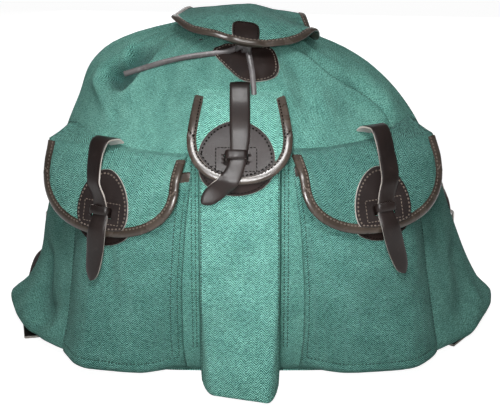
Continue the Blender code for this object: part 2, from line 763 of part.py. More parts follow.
# Leather patch on the lid's front
def lid_patch_outline(angle, part):
    c, s = math.cos(angle), math.sin(angle)
    square = (abs(c) ** 3 + abs(s) ** 3) ** (-1 / 3)
    arc = LID_LENGTH - BINDING_COVER - 0.0016 - LID_PATCH_LENGTH / 2
    return LID_PATCH_HALF * part * square * c, arc - LID_PATCH_LENGTH / 2 * part * square * s


def on_lid(x, arc):
    return lid_point(x, arc) + lid_normal(x, arc) * (CANVAS / 2 + GAP)


disc("lid_patch", lid_patch_outline, on_lid, PATCH_LEATHER, "leather", lid_hinge, lid_seam)

# Patch on the sack under the lid
front_reach = (FRONT_PATCH_HIGH - FRONT_PATCH_LOW) / 2


def front_outline(angle, part):
    c, s = math.cos(angle), math.sin(angle)
    square = (abs(c) ** 2.6 + abs(s) ** 2.6) ** (-1 / 2.6)
    return (
        FRONT_PATCH_X + FRONT_PATCH_HALF * part * square * c,
        FRONT_PATCH_LOW + front_reach + front_reach * part * square * s,
    )


disc("front_patch", front_outline, lambda x, z: on_sack(x, z, GAP + 0.0002), PATCH_LEATHER, "leather")


# Drawcord: two runs out of the hem along the neck, the knot and the two free ends
def neck_point(points, part, off):
    """Point along the neck from the left seam (0) to the right seam (1)."""
    at = part * (len(points) - 1)
    k = min(int(at), len(points) - 2)
    place = points[k].lerp(points[k + 1], at - k)
    return place + sack_normal(place) * off


neck = section(NECK_RUN_Z, 60)
cord_off = CORD_RADIUS + GAP + 0.0004
middle = min(range(61), key=lambda k: abs(neck[k].x - KNOT_X)) / 60
left_run = [neck_point(neck, 0.07 + (middle - 0.05 - 0.07) * k / 11, cord_off) for k in range(12)]
right_run = [neck_point(neck, 0.86 + (middle + 0.05 - 0.86) * k / 11, cord_off) for k in range(12)]
patch_off = GAP + 0.0002 + PATCH_LEATHER + GAP
knot_place = on_sack(KNOT_X, KNOT_Z, patch_off + KNOT_RADIUS)
for name, run, side in (("left", left_run, -1.0), ("right", right_run, 1.0)):
    last = knot_place + Vector((side * (KNOT_RADIUS + CORD_RADIUS), 0.001, KNOT_RADIUS * 0.55))
    turn = run[-1].lerp(last, 0.55) + Vector((0.0, -0.0015, 0.0012))
    tube("drawcord_" + name + "_run", run + [turn, last], CORD_RADIUS, "thong")

bpy.ops.mesh.primitive_uv_sphere_add(segments=12, ring_count=8, radius=KNOT_RADIUS)
knot = bpy.context.object
for holder in list(knot.users_collection):
    holder.objects.unlink(knot)
knot.name = "drawcord_knot"
knot.location = knot_place
finish(knot, "thong")

first = knot_place + Vector((-KNOT_RADIUS - CORD_RADIUS * 1.25, -0.001, -0.003))
points = [first] + [on_sack(x, z, cord_off + PATCH_LEATHER + GAP if x > -0.04 else cord_off) for x, z in LONG_END]
tube("drawcord_long_end", curve_through([tuple(p) for p in points], 22), CORD_RADIUS, "thong")
first = knot_place + Vector((0.0035, -0.0015, -KNOT_RADIUS - CORD_RADIUS * 1.0))
points = [first] + [on_sack(x, z, cord_off + PATCH_LEATHER + GAP) for x, z in SHORT_END]
tube("drawcord_short_end", curve_through([tuple(p) for p in points], 14), CORD_RADIUS, "thong")

# Yoke: leather sewn across the top of the back
outline = []
for k in range(32):
    angle = 2 * math.pi * k / 32
    c, s = math.cos(angle), math.sin(angle)
    square = (abs(c) ** 5 + abs(s) ** 5) ** (-1 / 5)
    narrow = 1.0 - 0.12 * (s * square + 1.0) / 2
    outline.append((YOKE_HALF * narrow * square * c, YOKE_HEIGHT / 2 * square * s))
yoke_y = BACK_Y + GAP + PATCH_LEATHER / 2
plate(
    "yoke", outline, PATCH_LEATHER, "leather",
    (YOKE_X, yoke_y, YOKE_TOP - YOKE_HEIGHT / 2), (math.pi / 2, 0.0, 0.0),
)
yoke_face = BACK_Y + GAP + PATCH_LEATHER

# Hanging loop: a strip doubled back on itself, free to swing at its sewn end
hang_place = Vector((YOKE_X, yoke_face + GAP + 0.0004 + STRAP_LEATHER / 2, YOKE_TOP - 0.006))
hang_hinge = axis_point("hang_loop_hinge", hang_place)
path = [
    (0.0, 0.0), (0.0002, -0.012), (0.0004, -0.024), (0.0022, HANG_DROP * -0.86), (HANG_DEPTH * 0.5, -HANG_DROP),
    (HANG_DEPTH * 0.92, HANG_DROP * -0.84), (HANG_DEPTH * 0.94, -0.022), (HANG_DEPTH * 0.66, -0.009),
    (STRAP_LEATHER + GAP, 0.0012),
]
rows = []
for y, z in curve_through(path, 26):
    place = hang_place + Vector((0.0, y, z))
    rows.append([place - Vector((HANG_WIDTH / 2, 0.0, 0.0)), place + Vector((HANG_WIDTH / 2, 0.0, 0.0))])
sheet("hang_loop", rows, STRAP_LEATHER, 0.0, "leather", hang_hinge, hang_place)


def build_shoulder(side, hand):
    """Shoulder strap with its tail, the buckle it is drawn through and the buckle's chape."""
    x = hand * BUCKLE_X
    bar_y = BACK_Y + 0.0066
    bar_z = BUCKLE_Z
    turn = BUCKLE_WIRE + GAP + LOOP_LEATHER / 2

    # Chape: leather sewn on the bottom corner, folded round the buckle's bar
    seat_y = BACK_Y + GAP + 0.0003 + LOOP_LEATHER / 2
    path = [(seat_y, bar_z - 0.030), (seat_y, bar_z - 0.018), (bar_y - turn, bar_z - 0.003)]
    path += [
        (bar_y - turn * math.cos(math.pi * k / 8), bar_z + turn * math.sin(math.pi * k / 8)) for k in range(9)
    ]
    path += [(bar_y + turn, bar_z - 0.005), (bar_y + turn - 0.0008, bar_z - 0.014)]
    rows = []
    for y, z in path:
        rows.append([Vector((x - CHAPE_WIDTH / 2, y, z)), Vector((x + CHAPE_WIDTH / 2, y, z))])
    chape = sheet(side + "_chape", rows, LOOP_LEATHER, 0.0, "leather")
    prong_wire = BUCKLE_WIRE * 0.75
    cut_box(chape, side + "_prong_slot", (prong_wire * 2 + 0.003, 0.016, 0.017), (x, bar_y, bar_z + 0.0035))

    # Buckle frame: bent wire, its bar in the chape's fold
    half_x = STRAP_END_WIDTH / 2 + GAP * 3 + BUCKLE_WIRE + 0.001
    corner = 0.004
    ring = []
    for cx, cz, from_angle in (
        (half_x - corner, BUCKLE_HEIGHT - corner, 0), (corner - half_x, BUCKLE_HEIGHT - corner, 90),
        (corner - half_x, corner, 180), (half_x - corner, corner, 270),
    ):
        for k in range(4):
            angle = math.radians(from_angle + 30 * k)
            ring.append((x + cx + corner * math.cos(angle), bar_y, bar_z + cz + corner * math.sin(angle)))
    curve = bpy.data.curves.new(side + "_buckle_frame", "CURVE")
    curve.dimensions = "3D"
    curve.bevel_depth = BUCKLE_WIRE
    curve.bevel_resolution = 1
    spline = curve.splines.new("POLY")
    spline.points.add(len(ring) - 1)
    for point, place in zip(spline.points, ring):
        point.co = (*place, 1.0)
    spline.use_cyclic_u = True
    finish(bpy.data.objects.new(side + "_buckle_frame", curve), "steel")

    # Prong: an eye round the bar, its tip on the frame's far bar
    eye = BUCKLE_WIRE + GAP * 0.75 + prong_wire
    pivot = Vector((x, bar_y, bar_z))
    prong_hinge = axis_point(side + "_prong_hinge", pivot)
    path = []
    for k in range(11):
        angle = math.radians(-30 - 24 * k)
        path.append(pivot + Vector((0.0, eye * math.cos(angle), eye * math.sin(angle))))
    tip = pivot + Vector((0.0, BUCKLE_WIRE + GAP + prong_wire, BUCKLE_HEIGHT + 0.0015))
    path += [path[-1].lerp(tip, 0.35), path[-1].lerp(tip, 0.7), tip]
    tube(side + "_buckle_prong", path, prong_wire, "steel", prong_hinge, pivot)

    # Shoulder strap: from the yoke, standing off the back, down through the buckle to its tail
    top_x = YOKE_X + hand * SHOULDER_APART
    seat = yoke_face + GAP + 0.0003 + STRAP_LEATHER / 2
    under = bar_y - BUCKLE_WIRE - GAP - STRAP_LEATHER / 2 - 0.0006
    outer = bar_y + turn + LOOP_LEATHER / 2 + GAP + STRAP_LEATHER / 2 + 0.0006
    floor = STRAP_LEATHER / 2 + 0.0003
    end_y = TAIL_ENDS[side]

    def beside(y, away):
        """Middle of the tail beside the sack's foot."""
        inner = meet_sack((hand * 0.30, y, floor + STRAP_LEATHER), (-hand, 0.0, 0.0))
        return inner.x + hand * (STRAP_END_WIDTH / 2 + away)

    stand = SHOULDER_STAND
    route = [
        (top_x, seat, YOKE_TOP - 0.010, SHOULDER_WIDTH),
        (top_x + hand * 0.001, seat, YOKE_TOP - 0.021, SHOULDER_WIDTH),
        (top_x + hand * 0.004, seat + 0.004, YOKE_TOP - 0.036, SHOULDER_WIDTH),
        (top_x + hand * 0.022, BACK_Y + stand * 0.62, 0.225, SHOULDER_WIDTH),
        (top_x + hand * 0.072, BACK_Y + stand, 0.178, SHOULDER_WIDTH),
        (x - hand * 0.022, BACK_Y + stand * 0.72, bar_z + 0.062, SHOULDER_WIDTH * 0.85),
        (x - hand * 0.004, BACK_Y + stand * 0.30, bar_z + 0.040, STRAP_END_WIDTH),
        (x, under, bar_z + BUCKLE_HEIGHT + 0.004, STRAP_END_WIDTH),
        (x, bar_y - 0.0014, bar_z + BUCKLE_HEIGHT * 0.62, STRAP_END_WIDTH),
        (x, outer, bar_z - 0.001, STRAP_END_WIDTH),
        (x + hand * 0.001, outer + 0.0003, bar_z - 0.018, STRAP_END_WIDTH),
        (hand * TAIL_BOW[side], BACK_Y + 0.0125, 0.0440, STRAP_END_WIDTH),
        (hand * (TAIL_BOW[side] + 0.010), BACK_Y + 0.0120, 0.0150, STRAP_END_WIDTH),
        (beside(BACK_Y - 0.004, TAIL_CORNER), BACK_Y + 0.0075, floor + 0.0003, STRAP_END_WIDTH),
        (beside(BACK_Y - 0.014, TAIL_CORNER), BACK_Y - 0.014, floor, STRAP_END_WIDTH),
        (beside(end_y + 0.032, TAIL_OUT[side] * 0.25), end_y + 0.032, floor, STRAP_END_WIDTH),
        (beside(end_y, TAIL_OUT[side]), end_y, floor, STRAP_END_WIDTH),
    ]
    line = curve_through([r[:3] for r in route], 60)
    widths = curve_through([(r[3], 0.0) for r in route], 60)
    rows = []
    for k, place in enumerate(line):
        before, after = line[max(k - 1, 0)], line[min(k + 1, len(line) - 1)]
        run = (after - before).normalized()
        side_way = Vector((1.0, 0.0, 0.0))
        if k < 47:
            flat = Vector((run.x, 0.0, run.z)).normalized()
            side_way = Vector((-flat.z, 0.0, flat.x))
        side_way = (side_way - run * side_way.dot(run)).normalized()
        row = [place - side_way * widths[k][0] / 2, place + side_way * widths[k][0] / 2]
        rows.append([Vector((p.x, p.y, max(p.z, floor))) for p in row])
    strap = sheet(side + "_shoulder_strap", rows, STRAP_LEATHER, 0.0, "leather")
    cut_box(
        strap, side + "_prong_hole", (prong_wire * 2 + 0.0016, 0.018, 0.0185),
        (x, bar_y + 0.0006, bar_z + BUCKLE_HEIGHT * 0.40),
    )


build_shoulder("left", -1.0)
build_shoulder("right", 1.0)
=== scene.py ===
"""Herringbone canvas rucksack with bound pockets, leather closures and a thong drawcord."""

import math

import bmesh
import bpy
import numpy as np
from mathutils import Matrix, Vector, noise
from mathutils.bvhtree import BVHTree


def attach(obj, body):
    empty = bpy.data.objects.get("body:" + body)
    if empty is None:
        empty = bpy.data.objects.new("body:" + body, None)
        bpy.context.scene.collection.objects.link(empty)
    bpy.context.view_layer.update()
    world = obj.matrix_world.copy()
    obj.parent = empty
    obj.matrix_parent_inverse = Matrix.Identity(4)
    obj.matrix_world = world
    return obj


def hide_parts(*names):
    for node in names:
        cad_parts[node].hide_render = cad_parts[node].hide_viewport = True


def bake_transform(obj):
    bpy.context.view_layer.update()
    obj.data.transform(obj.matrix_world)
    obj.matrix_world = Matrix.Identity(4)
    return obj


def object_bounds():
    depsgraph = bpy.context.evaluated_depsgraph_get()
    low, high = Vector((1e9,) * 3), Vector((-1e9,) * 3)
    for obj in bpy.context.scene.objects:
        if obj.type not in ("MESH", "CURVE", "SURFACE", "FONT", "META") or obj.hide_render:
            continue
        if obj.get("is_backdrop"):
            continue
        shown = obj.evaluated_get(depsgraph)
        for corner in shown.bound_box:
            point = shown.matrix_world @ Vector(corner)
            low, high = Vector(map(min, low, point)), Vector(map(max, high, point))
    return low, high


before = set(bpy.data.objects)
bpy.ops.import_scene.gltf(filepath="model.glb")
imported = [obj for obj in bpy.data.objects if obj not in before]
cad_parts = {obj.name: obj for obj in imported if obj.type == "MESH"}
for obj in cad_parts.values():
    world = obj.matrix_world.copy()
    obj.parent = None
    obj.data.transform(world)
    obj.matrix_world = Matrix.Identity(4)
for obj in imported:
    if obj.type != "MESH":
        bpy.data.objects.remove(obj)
cad_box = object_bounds()
bpy.ops.object.select_all(action="DESELECT")

# Studio: a white floor and backdrop, a small soft lamp beside the camera, a key lamp high in front, one
# overhead and one behind, and a camera that looks down on the sack from the front.
scene = bpy.context.scene
scene.view_settings.view_transform = "Standard"
EYE, AIM = Vector((0.0, -1.0568, 0.5653)), Vector((0.0, -0.0165, 0.1450))
LIT = Vector((-0.004, -0.08, 0.185))
LENS_MM, SENSOR_MM = 86.4, 36.0
AIR_GLOW, SHINE_SHARE = 0.11, 0.10
FLOOR_SIZE, FLOOR_Z, FLOOR_TONE, FLOOR_GLOW = 7.0, -0.0004, 0.4, 0.92
# Each lamp: its place, width, spread in degrees and power
LAMPS = {
    "softbox_front": ((-0.05, -0.98, 0.55), 0.16, 34.0, 0.36),
    "softbox_high": ((-0.04, -0.68, 1.00), 0.24, 44.0, 0.56),
    "softbox_above": ((0.0, 0.20, 1.30), 1.20, 180.0, 1.2),
    "softbox_back": ((0.10, 1.30, 0.50), 1.00, 180.0, 4.0),
}


def aimed(name, data, place, target):
    """Camera or lamp set up at a place and turned to a target."""
    obj = bpy.data.objects.new(name, data)
    obj.location = place
    obj.rotation_euler = (target - Vector(place)).to_track_quat("-Z", "Y").to_euler()
    scene.collection.objects.link(obj)
    return obj


def sum_of(tree, operation, one, two=None, third=None):
    """Math node on sockets or numbers."""
    node = tree.nodes.new("ShaderNodeMath")
    node.operation = operation
    for k, value in enumerate((one, two, third)):
        if value is None:
            continue
        if isinstance(value, (int, float)):
            node.inputs[k].default_value = value
        else:
            tree.links.new(value, node.inputs[k])
    return node.outputs[0]


def span(tree, value, low, high, to_low=0.0, to_high=1.0):
    """Value carried from one range to another."""
    node = tree.nodes.new("ShaderNodeMapRange")
    node.inputs["From Min"].default_value = low
    node.inputs["From Max"].default_value = high
    node.inputs["To Min"].default_value = to_low
    node.inputs["To Max"].default_value = to_high
    tree.links.new(value, node.inputs["Value"])
    return node.outputs[0]


def principled(name):
    """New material with its node tree and its main shader."""
    material = bpy.data.materials.new(name)
    material.use_nodes = True
    return material, material.node_tree, material.node_tree.nodes["Principled BSDF"]


lens = bpy.data.cameras.new("photo_camera")
lens.lens = LENS_MM
lens.sensor_width = SENSOR_MM
scene.camera = aimed("photo_camera", lens, EYE, AIM)
for lamp_name, (place, width, spread, power) in LAMPS.items():
    lamp = bpy.data.lights.new(lamp_name, "AREA")
    lamp.size = width
    lamp.spread = math.radians(spread)
    lamp.energy = power
    aimed(lamp_name, lamp, place, LIT)

scene.world = bpy.data.worlds.new("studio_air")
scene.world.use_nodes = True
tree = scene.world.node_tree
rays = tree.nodes.new("ShaderNodeLightPath").outputs
seen = sum_of(tree, "MAXIMUM", rays["Is Camera Ray"], rays["Is Transmission Ray"])
shine = sum_of(tree, "MULTIPLY", rays["Is Glossy Ray"], SHINE_SHARE)
sky = tree.nodes["Background"]
sky.inputs["Color"].default_value = (1.0, 1.0, 1.0, 1.0)
glow = span(tree, sum_of(tree, "MAXIMUM", seen, shine), 0.0, 1.0, AIR_GLOW, 1.0)
tree.links.new(glow, sky.inputs["Strength"])

bpy.ops.mesh.primitive_plane_add(size=FLOOR_SIZE, location=(0.0, 0.0, FLOOR_Z))
floor = bpy.context.object
floor.name = "studio_floor"
paint, tree, shader = principled("floor_white")
shader.inputs["Base Color"].default_value = (FLOOR_TONE, FLOOR_TONE, FLOOR_TONE, 1.0)
shader.inputs["Roughness"].default_value = 0.9
shader.inputs["Specular IOR Level"].default_value = 0.0
rays = tree.nodes.new("ShaderNodeLightPath").outputs
seen = sum_of(tree, "MAXIMUM", rays["Is Camera Ray"], rays["Is Glossy Ray"])
seen = sum_of(tree, "MAXIMUM", seen, rays["Is Transmission Ray"])
lift = tree.nodes.new("ShaderNodeEmission")
tree.links.new(sum_of(tree, "MULTIPLY", seen, FLOOR_GLOW), lift.inputs["Strength"])
both = tree.nodes.new("ShaderNodeAddShader")
tree.links.new(shader.outputs[0], both.inputs[0])
tree.links.new(lift.outputs[0], both.inputs[1])
tree.links.new(both.outputs[0], tree.nodes["Material Output"].inputs["Surface"])
floor.data.materials.append(paint)
floor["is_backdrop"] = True

# Canvas cloth: cotton in a herringbone twill, green, sun-faded in places and slubby. The weave runs
# on each piece's own map of metres across and along the cloth.
# Width of a herringbone column, and one twill line to the next
COLUMN, TWILL = 0.0046, 0.0021


def group_of(name, takes, gives):
    """Empty node group with its sockets."""
    made = bpy.data.node_groups.new(name, "ShaderNodeTree")
    for label, kind, value in takes:
        socket = made.interface.new_socket(label, in_out="INPUT", socket_type=kind)
        if value is not None:
            socket.default_value = value
    for label, kind in gives:
        made.interface.new_socket(label, in_out="OUTPUT", socket_type=kind)
    return made, made.nodes.new("NodeGroupInput"), made.nodes.new("NodeGroupOutput")


def speckle(tree, vector, scale, detail=2.0, stretch=None):
    """Noise value on a vector, stretched along its axes."""
    if stretch is not None:
        mapping = tree.nodes.new("ShaderNodeMapping")
        mapping.inputs["Scale"].default_value = stretch
        tree.links.new(vector, mapping.inputs["Vector"])
        vector = mapping.outputs[0]
    node = tree.nodes.new("ShaderNodeTexNoise")
    node.inputs["Scale"].default_value = scale
    node.inputs["Detail"].default_value = detail
    tree.links.new(vector, node.inputs["Vector"])
    return node.outputs["Fac"]


def mixed(tree, fac, one, two, blend="MIX"):
    """Colour mix of two sockets or plain colours."""
    node = tree.nodes.new("ShaderNodeMix")
    node.data_type = "RGBA"
    node.blend_type = blend
    for socket, value in ((node.inputs["Factor"], fac), (node.inputs[6], one), (node.inputs[7], two)):
        if isinstance(value, (int, float, tuple)):
            socket.default_value = value
        else:
            tree.links.new(value, socket)
    return node.outputs[2]


weave, given, result = group_of(
    "herringbone_weave",
    [("Vector", "NodeSocketVector", None)],
    [("Yarn", "NodeSocketFloat"), ("Slub", "NodeSocketFloat"), ("Fade", "NodeSocketFloat")],
)
laid = given.outputs["Vector"]
split = weave.nodes.new("ShaderNodeSeparateXYZ")
weave.links.new(laid, split.inputs[0])
zigzag = sum_of(weave, "PINGPONG", split.outputs["X"], COLUMN)
run = sum_of(weave, "DIVIDE", sum_of(weave, "ADD", split.outputs["Y"], zigzag), TWILL)
wobble = speckle(weave, laid, 260.0)
run = sum_of(weave, "ADD", run, sum_of(weave, "MULTIPLY", wobble, 0.55))
twill = sum_of(weave, "SINE", sum_of(weave, "MULTIPLY", run, 2 * math.pi))
weft = speckle(weave, laid, 1.0, 1.0, (260.0, 1150.0, 1.0))
warp = speckle(weave, laid, 1.0, 1.0, (1250.0, 300.0, 1.0))
mottle = speckle(weave, laid, 330.0, 3.0)
threads = sum_of(weave, "ADD", sum_of(weave, "MULTIPLY", weft, 0.5), sum_of(weave, "MULTIPLY", warp, 0.5))
threads = sum_of(weave, "MULTIPLY_ADD", sum_of(weave, "SUBTRACT", mottle, 0.5), 0.28, threads)
yarn = sum_of(weave, "MULTIPLY_ADD", twill, 0.60, sum_of(weave, "MULTIPLY_ADD", threads, 2.5, -0.75))
weave.links.new(yarn, result.inputs["Yarn"])
slub = speckle(weave, laid, 1.0, 2.0, (90.0, 460.0, 1.0))
weave.links.new(span(weave, slub, 0.58, 0.74), result.inputs["Slub"])
fade = speckle(weave, laid, 42.0, 5.0)
weave.links.new(span(weave, fade, 0.32, 0.64), result.inputs["Fade"])


def raise_on(tree, shader, height, distance, strength):
    """Bump of a height on a shader."""
    bump = tree.nodes.new("ShaderNodeBump")
    bump.inputs["Distance"].default_value = distance
    bump.inputs["Strength"].default_value = strength
    tree.links.new(height, bump.inputs["Height"])
    tree.links.new(bump.outputs[0], shader.inputs["Normal"])


canvas, tree, shader = principled("green_canvas")
across = tree.nodes.new("ShaderNodeUVMap")
across.uv_map = "weave"
woven = tree.nodes.new("ShaderNodeGroup")
woven.node_tree = weave
tree.links.new(across.outputs[0], woven.inputs["Vector"])
thread = mixed(tree, woven.outputs["Yarn"], (0.010, 0.080, 0.066, 1.0), (0.255, 0.590, 0.498, 1.0))
slubs = sum_of(tree, "MULTIPLY", woven.outputs["Slub"], 0.45)
thread = mixed(tree, slubs, thread, (0.055, 0.185, 0.150, 1.0))
worn = mixed(tree, woven.outputs["Fade"], (0.72, 0.78, 0.78, 1.0), (1.0, 1.0, 1.0, 1.0))
thread = mixed(tree, 1.0, thread, worn, "MULTIPLY")
# Painted shading: each cloth's painted_shading value darkens its weave towards a shaded tone as painted shade;
# below 0 it pushes the colour paler, as painted light.
painted_shading_input = tree.nodes.new("ShaderNodeAttribute")
painted_shading_input.attribute_name = "painted_shading"
painted_shade_tone = mixed(tree, 1.0, thread, (0.42, 0.46, 0.48, 1.0), "MULTIPLY")
tint = mixed(tree, painted_shading_input.outputs["Fac"], thread, painted_shade_tone)
tint.node.clamp_factor = False
tree.links.new(tint, shader.inputs["Base Color"])
shader.inputs["Roughness"].default_value = 0.92
shader.inputs["Specular IOR Level"].default_value = 0.12
shader.inputs["Sheen Weight"].default_value = 0.05
shader.inputs["Sheen Roughness"].default_value = 0.5
raise_on(tree, shader, woven.outputs["Yarn"], 0.0005, 0.8)

# Sack wrap: one piece of canvas round the front and both sides, from the foot to the gathered neck,
# sewn to the back along both edges. It is full of gear below and slack at its shoulders.
CANVAS = 0.0014
BACK_Y = 0.0725
SEAM_Y = BACK_Y - 0.0018
FOOT_Z = 0.0018
FRONT_POWER = 1.35
# Each level: its height, half width on the left and on the right, front, and how square its sides are
LEVELS = [
    (0.0018, 0.206, 0.210, -0.0690, 4.2),
    (0.0100, 0.248, 0.250, -0.0740, 4.2),
    (0.0330, 0.229, 0.235, -0.0790, 4.0),
    (0.0600, 0.215, 0.221, -0.0810, 3.7),
    (0.1000, 0.207, 0.205, -0.0800, 3.3),
    (0.1500, 0.194, 0.186, -0.0710, 3.2),
    (0.1950, 0.181, 0.168, -0.0550, 3.2),
    (0.2300, 0.166, 0.145, -0.0350, 3.2),
    (0.2580, 0.155, 0.117, -0.0170, 3.2),
    (0.2760, 0.138, 0.089, -0.0040, 3.2),
    (0.2860, 0.119, 0.066, 0.0050, 3.2),
    (0.2930, 0.098, 0.055, 0.0105, 3.2),
    (0.3000, 0.069, 0.051, 0.0135, 3.0),
]
RIM_Z = LEVELS[-1][0]
# How far out from a pocket, and at what y, a point is clear of the sack
OUTSIDE, AHEAD = 0.13, -0.2


def through(table, column=1):
    """Smooth curve through a table's rows, as a function of its first column."""
    t = np.array([row[0] for row in table], float)
    v = np.array([row[column] for row in table], float)
    last = len(t) - 1
    after, before = np.minimum(np.arange(last + 1) + 1, last), np.maximum(np.arange(last + 1) - 1, 0)
    slope = (v[after] - v[before]) / (t[after] - t[before])

    def at(place):
        place = np.clip(np.asarray(place, float), t[0], t[-1])
        k = np.clip(np.searchsorted(t, place) - 1, 0, last - 1)
        gap = t[k + 1] - t[k]
        s = (place - t[k]) / gap
        return (
            (2 * s**3 - 3 * s**2 + 1) * v[k]
            + (s**3 - 2 * s**2 + s) * slope[k] * gap
            + (-2 * s**3 + 3 * s**2) * v[k + 1]
            + (s**3 - s**2) * slope[k + 1] * gap
        )

    return at


left_half, right_half = through(LEVELS, 1), through(LEVELS, 2)
front_y, side_power = through(LEVELS, 3), through(LEVELS, 4)


def wrap_row(z, count):
    """Evenly spaced points round the sack at one height, left seam to right seam."""
    turn = np.linspace(0.0, math.pi, 601)
    across = -np.sign(np.cos(turn)) * np.abs(np.cos(turn)) ** (2 / side_power(z))
    forward = np.clip(np.sin(turn), 0.0, 1.0) ** (2 / FRONT_POWER)
    x = across * np.where(across < 0, left_half(z), right_half(z))
    y = SEAM_Y - forward * (SEAM_Y - front_y(z))
    run = np.concatenate([[0.0], np.cumsum(np.hypot(np.diff(x), np.diff(y)))])
    even = np.linspace(0.0, run[-1], count)
    return np.stack([np.interp(even, run, x), np.interp(even, run, y), np.full(count, z)], axis=1)


def facing(points):
    """Outward normals of a grid of points: columns left to right, rows upwards."""
    way = np.cross(np.gradient(points, axis=1), np.gradient(points, axis=0))
    return way / np.maximum(np.linalg.norm(way, axis=2, keepdims=True), 1e-12)


def ease(t):
    """Smooth step from 0 to 1."""
    t = np.clip(t, 0.0, 1.0)
    return t * t * (3.0 - 2.0 * t)


def rise(t):
    """Quarter circle from 0 to 1, steep at its start."""
    t = np.clip(t, 0.0, 1.0)
    return np.sqrt(1.0 - (1.0 - t) ** 2)


def crumple(points, size, seed):
    """Soft random height at each point."""
    flat = points.reshape(-1, 3) / size + seed
    return np.array([noise.noise(Vector(p)) for p in flat]).reshape(points.shape[:-1])


def walked(points, axis):
    """Distance walked along a grid's rows or columns, from its first."""
    step = np.linalg.norm(np.diff(points, axis=axis), axis=-1)
    start = np.zeros_like(np.take(step, [0], axis=axis))
    return np.concatenate([start, np.cumsum(step, axis=axis)], axis=axis)


def from_stroke(points, normals, stroke):
    """Signed distance to a stroke along the cloth, positive on its right, and the place along it."""
    knots = np.array(stroke, float) / 1000.0
    steps = np.linspace(0.0, len(knots) - 1.0, 8 * len(knots))
    line = np.stack([through(list(enumerate(knots[:, k])))(steps) for k in range(3)], axis=1)
    lengths = np.linalg.norm(np.diff(line, axis=0), axis=1)
    starts = walked(line, 0)
    best = np.full(points.shape[:-1], 1e9)
    away, place = np.zeros_like(best), np.zeros_like(best)
    for k in range(len(line) - 1):
        way = (line[k + 1] - line[k]) / lengths[k]
        along = np.clip((points - line[k]) @ way, 0.0, lengths[k])
        apart = points - (line[k] + along[..., None] * way)
        far = np.linalg.norm(apart, axis=-1)
        side = np.sign((np.cross(way, normals) * apart).sum(-1))
        near = far < best
        best = np.where(near, far, best)
        away = np.where(near, far * side, away)
        place = np.where(near, (starts[k] + along) / starts[-1], place)
    return away, place


# Each fold: its line on the cloth in mm, height of the lip on its right and how far that runs, depth of
# the hollow on its left, how soon it is reached, where it ends, how slowly it rises, and where it fades
FOLDS = [
    ([(-145, 51, 262), (-143, 40, 255), (-140, 29, 249), (-133, 18, 246), (-124, 9, 247), (-115, 4, 251),
      (-107, 4, 257), (-101, 5, 264), (-93, 9, 272), (-85, 16, 282), (-77, 26, 290), (-67, 45, 298)],
     0.0040, 0.014, 0.0210, 0.013, 0.019, 0.045, 0.14, 0.62),
    ([(28, 17, 294), (46, 12, 282), (67, 4, 267), (80, 4, 258), (92, 6, 251), (102, 8, 244), (113, 8, 234),
      (124, 9, 223), (135, 11, 211)],
     0.0060, 0.012, 0.0110, 0.0030, 0.006, 0.020, 0.06, 0.85),
]
# Soft ridges and hollows: line in mm, height and width
ROLLS = [
    ([(20, 5, 284), (27, -7, 269), (34, -18, 254), (39, -28, 238)], 0.0042, 0.007),
    ([(38, 7, 281), (45, -6, 266), (50, -19, 249), (54, -29, 234)], -0.0032, 0.007),
    ([(56, -3, 266), (62, -11, 255), (69, -18, 242), (74, -26, 228)], 0.0028, 0.008),
    ([(6, -4, 276), (10, -12, 266), (17, -20, 254)], -0.0025, 0.007),
    ([(64, 38, 283), (89, 41, 270), (115, 38, 250), (135, 35, 228), (144, 30, 213)], 0.0036, 0.012),
    ([(-129, 39, 271), (-115, 22, 270), (-104, 14, 272)], 0.0042, 0.008),
    ([(-146, 48, 259), (-138, 22, 242), (-129, 0, 226), (-122, -17, 211)], 0.0022, 0.006),
    ([(-71, 5, 278), (-72, -12, 257), (-76, -26, 233), (-77, -41, 209)], -0.0026, 0.012),
    ([(-121, 0, 236), (-127, -5, 221), (-133, -10, 208)], -0.0024, 0.008),
    ([(-200, 30, 92), (-205, 26, 62), (-205, 6, 38), (-186, -30, 27)], -0.0100, 0.017),
    ([(-214, 45, 40), (-222, 30, 22), (-205, -20, 12)], 0.0035, 0.009),
    ([(196, 33, 100), (205, 25, 71), (211, 8, 45), (196, -26, 28)], -0.0040, 0.016),
    ([(216, 45, 45), (226, 25, 24), (205, -28, 12)], 0.0035, 0.009),
    ([(-172, 30, 170), (-180, 18, 130), (-186, 8, 95)], -0.0036, 0.012),
    ([(165, 30, 165), (172, 18, 130), (184, 0, 90)], -0.0032, 0.012),
]
WRAP_COLUMNS, WRAP_ROWS = 330, 140
rows_up = np.linspace(0.0, 1.0, WRAP_ROWS)
heights = FOOT_Z + (RIM_Z - FOOT_Z) * (1.35 * rows_up - 0.35 * rows_up**2)
wrap = np.stack([wrap_row(z, WRAP_COLUMNS) for z in heights])
out = facing(wrap)
clear = ease((heights - FOOT_Z) / 0.012)[:, None] * np.ones(WRAP_COLUMNS)
sides = np.minimum(np.arange(WRAP_COLUMNS), np.arange(WRAP_COLUMNS)[::-1]) / WRAP_COLUMNS
clear = clear * ease(sides / 0.04)
push = 0.0016 * crumple(wrap, 0.045, 3.0) + 0.0007 * crumple(wrap, 0.016, 9.0)
for line, lip, lip_run, hollow, drop, flat, recover, fade_in, fade_out in FOLDS:
    away, place = from_stroke(wrap, out, line)
    back = np.maximum(-away, 0.0)
    sunk = np.sin(np.minimum(back / drop, 1.0) * math.pi / 2) * (1.0 - ease((back - flat) / recover))
    raised = np.where(away > 0, np.exp(-((away / lip_run) ** 2)), np.maximum(1.0 - back / drop, 0.0))
    push += (lip * raised - hollow * sunk) * ease(place / fade_in) * ease((1.0 - place) / (1.0 - fade_out))
for line, high, width in ROLLS:
    away, place = from_stroke(wrap, out, line)
    push += high * np.exp(-((away / width) ** 2)) * ease(place / 0.25) * ease((1.0 - place) / 0.25)
turns = np.linspace(0.0, 1.0, WRAP_COLUMNS)[None, :]
gather = ease((heights - 0.272) / 0.026)[:, None]
